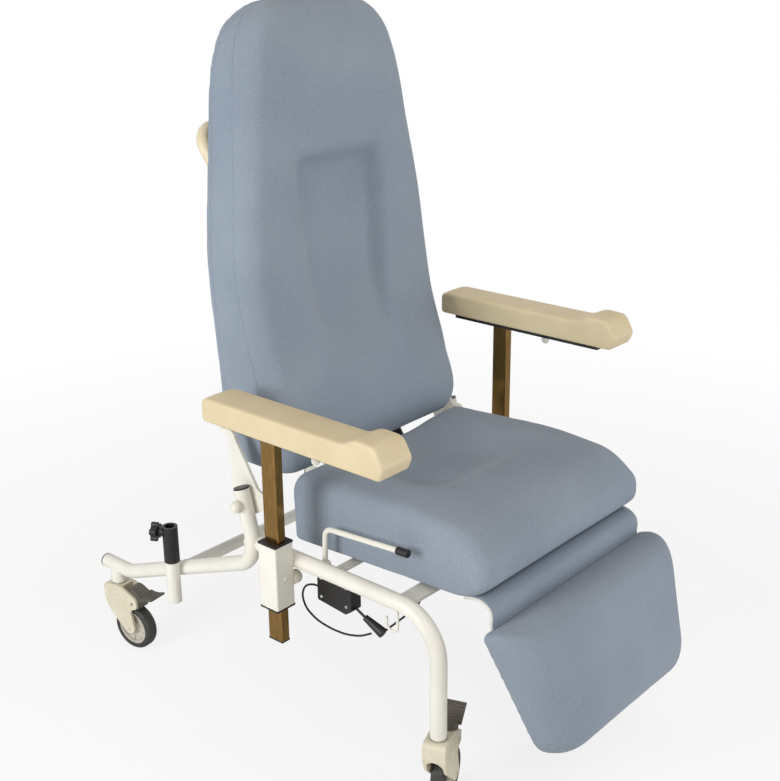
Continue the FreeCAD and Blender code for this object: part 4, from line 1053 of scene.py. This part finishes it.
def handle_flanges():
    """Oval collars where the push handle's legs reach the back, from a section of (outwards, grown)."""
    centre_x, centre_z = 196, 1040
    half_wide, half_high = 14.4, 23.4
    section = ((0.2, 0), (0.2, 10), (1.6, 12), (3.4, 11), (4.2, 8), (4.2, 0.4))
    face_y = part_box("push_handle")[0].y / MM - datum_y / MM
    count = 48
    for side, name in sides:
        bm = bmesh.new()
        loops = []
        for out, grown in section:
            loop = []
            for k in range(count):
                a = math.radians(360 / count * k)
                x = side * centre_x + (half_wide + grown) * math.cos(a)
                z = centre_z + (half_high + grown) * math.sin(a)
                loop.append(bm.verts.new(at(x, face_y + out, z)))
            loops.append(loop)
        for lower, upper in zip(loops, loops[1:] + loops[:1]):
            join_loops(bm, lower, upper)
        bmesh.ops.recalc_face_normals(bm, faces=bm.faces)
        mesh = kept_mesh("handle_collar_" + name, bm)
        new_piece("handle_collar_" + name, mesh, handle_plastic, "backrest")


# Finish of the pieces that stay as built

node_finish = (
    (white_coat, "front_frame_tubes rear_frame_tubes rear_crossbar seat_frame armrest_sockets "
                 "backrest_plates backrest_brackets legrest_arms link_rod pole_holder_tube "
                 "release_lever bag_hook"),
    (black_plastic, "tube_plugs socket_guides pole_clamp_sleeve pole_clamp_knob lever_tip "
                    "release_box cable_junction release_cables"),
    (handle_plastic, "push_handle"),
    (black_coat, "gas_spring_cylinder"),
    (chrome_metal, "gas_spring_rod"),
    (white_plastic, "hinge_pins"),
    (zinc_metal, "caster_stems"),
)
side_finish = {"armrest_plate": black_coat, "armrest_post": reflection_tinted_chrome, "post_plug": black_plastic,
               "pad_bolt": white_plastic, "armrest_knob": white_plastic}
caster_finish = {"fork": cream_plastic, "wheel": wheel_plastic, "tyre": rubber, "pedal": pedal_plastic}


def finish_nodes():
    finish = {name: material for material, names in node_finish for name in names.split()}
    for name, material in side_finish.items():
        for side in "RL":
            finish[name + "_" + side] = material
    for name, material in caster_finish.items():
        for place in casters:
            finish[place + "_" + name] = material
    for name, material in finish.items():
        mesh = nodes[name].data
        mesh.materials.clear()
        mesh.materials.append(material)


# Camera, floor and light

def photo_camera():
    """The camera of the photograph: place in millimetres, turn in degrees, focal length in pixels."""
    place = at(-1730.5, -1404.9, 1456.1)
    yaw, pitch, roll = (math.radians(a) for a in (48.8, 20.1, -0.6))
    focal_px, image_px, sensor = 1252.8, 781, 36
    aim = Matrix.Rotation(-yaw, 4, "Z") @ Matrix.Rotation(math.pi / 2 - pitch, 4, "X")
    camera = in_scene("photo_camera", bpy.data.cameras.new("photo_camera"))
    camera.data.sensor_width = sensor
    camera.data.lens = focal_px / image_px * sensor
    camera.data.clip_start = 0.05
    camera.data.clip_end = 50
    camera.matrix_world = Matrix.Translation(place) @ aim @ Matrix.Rotation(roll, 4, "Z")
    bpy.context.scene.camera = camera


def pale_floor():
    """Matt white paper: it shows near white to the camera, keeps the shadow and fades to white far off."""
    material, tree, shader, place = new_material("white_paper", Roughness=0.9)
    shader.inputs["Base Color"].default_value = linear("F4F4F3")
    rays = add(tree, "ShaderNodeLightPath")
    glow = add(tree, "ShaderNodeEmission", {"Strength": 1.0})
    distance = add(tree, "ShaderNodeVectorMath", {0: place}, operation="LENGTH")
    fade = add(tree, "ShaderNodeMapRange",
               {"Value": distance.outputs["Value"], "From Min": 0.9, "From Max": 2.4, "To Min": 0.8})
    share = add(tree, "ShaderNodeMath", {0: rays.outputs["Is Camera Ray"], 1: fade.outputs["Result"]},
                operation="MULTIPLY")
    mix = add(tree, "ShaderNodeMixShader", {0: share.outputs[0], 1: shader.outputs[0], 2: glow.outputs[0]})
    output = next(n for n in tree.nodes if n.bl_idname == "ShaderNodeOutputMaterial")
    tree.links.new(mix.outputs[0], output.inputs["Surface"])
    return material


def studio_floor():
    bm = bmesh.new()
    bmesh.ops.create_grid(bm, x_segments=1, y_segments=1, size=14)
    mesh = kept_mesh("studio_floor", bm)
    floor = in_scene("studio_floor", mesh)
    mesh.materials.append(pale_floor())


def lamp(name, place, size, power, colour):
    """A round soft lamp, its place and size in metres, turned to the middle of the chair."""
    chair_middle = Vector((0, 0, 0.6))
    light = bpy.data.lights.new(name, "AREA")
    light.shape = "DISK"
    light.size = size
    light.energy = power
    light.color = linear(colour)[:3]
    holder = in_scene(name, light)
    holder.location = place
    holder.rotation_mode = "QUATERNION"
    holder.rotation_quaternion = (chair_middle - Vector(place)).to_track_quat("-Z", "Y")


def studio_light():
    lamp("key_softbox", (-2.9, 0.4, 1.3), 1.4, 48, "FAFCFF")
    lamp("front_fill", (1.7, -3.5, 0.4), 2.0, 62, "F6FAFF")
    lamp("near_fill", (-1.7, -1.9, 2.4), 0.9, 16, "FFFBF4")
    lamp("top_fill", (0.5, -0.5, 3.5), 2.2, 18, "FFEFDC")
    world = bpy.data.worlds.new("studio")
    bpy.context.scene.world = world
    world.use_nodes = True
    tree = world.node_tree
    tree.nodes.clear()
    rays = add(tree, "ShaderNodeLightPath")
    seen = rays.outputs["Is Camera Ray"]
    for kind in ("Is Glossy Ray", "Is Transmission Ray"):
        seen = add(tree, "ShaderNodeMath", {0: seen, 1: rays.outputs[kind]}, operation="MAXIMUM").outputs[0]
    dim = add(tree, "ShaderNodeBackground", {"Color": linear("F4F4F4"), "Strength": 0.4})
    bright = add(tree, "ShaderNodeBackground", {"Color": linear("FFFFFF"), "Strength": 1.0})
    mix = add(tree, "ShaderNodeMixShader", {0: seen, 1: dim.outputs[0], 2: bright.outputs[0]})
    add(tree, "ShaderNodeOutputWorld", {"Surface": mix.outputs[0]})
    bpy.context.scene.view_settings.view_transform = "Standard"


photo_camera()
studio_floor()
studio_light()
finish_nodes()
backrest_cover()
seat_cover()
seat_dust_cover()
legrest_cover()
legrest_dust_cover()
armrest_pads()
frame_welds()
frame_fasteners()
plate_fasteners()
handle_flanges()
knob_flutes()
for caster in casters:
    caster_details(caster)
for piece in list(bpy.context.scene.objects):
    if piece.get("home"):
        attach(piece, piece["home"])
flap_pieces()
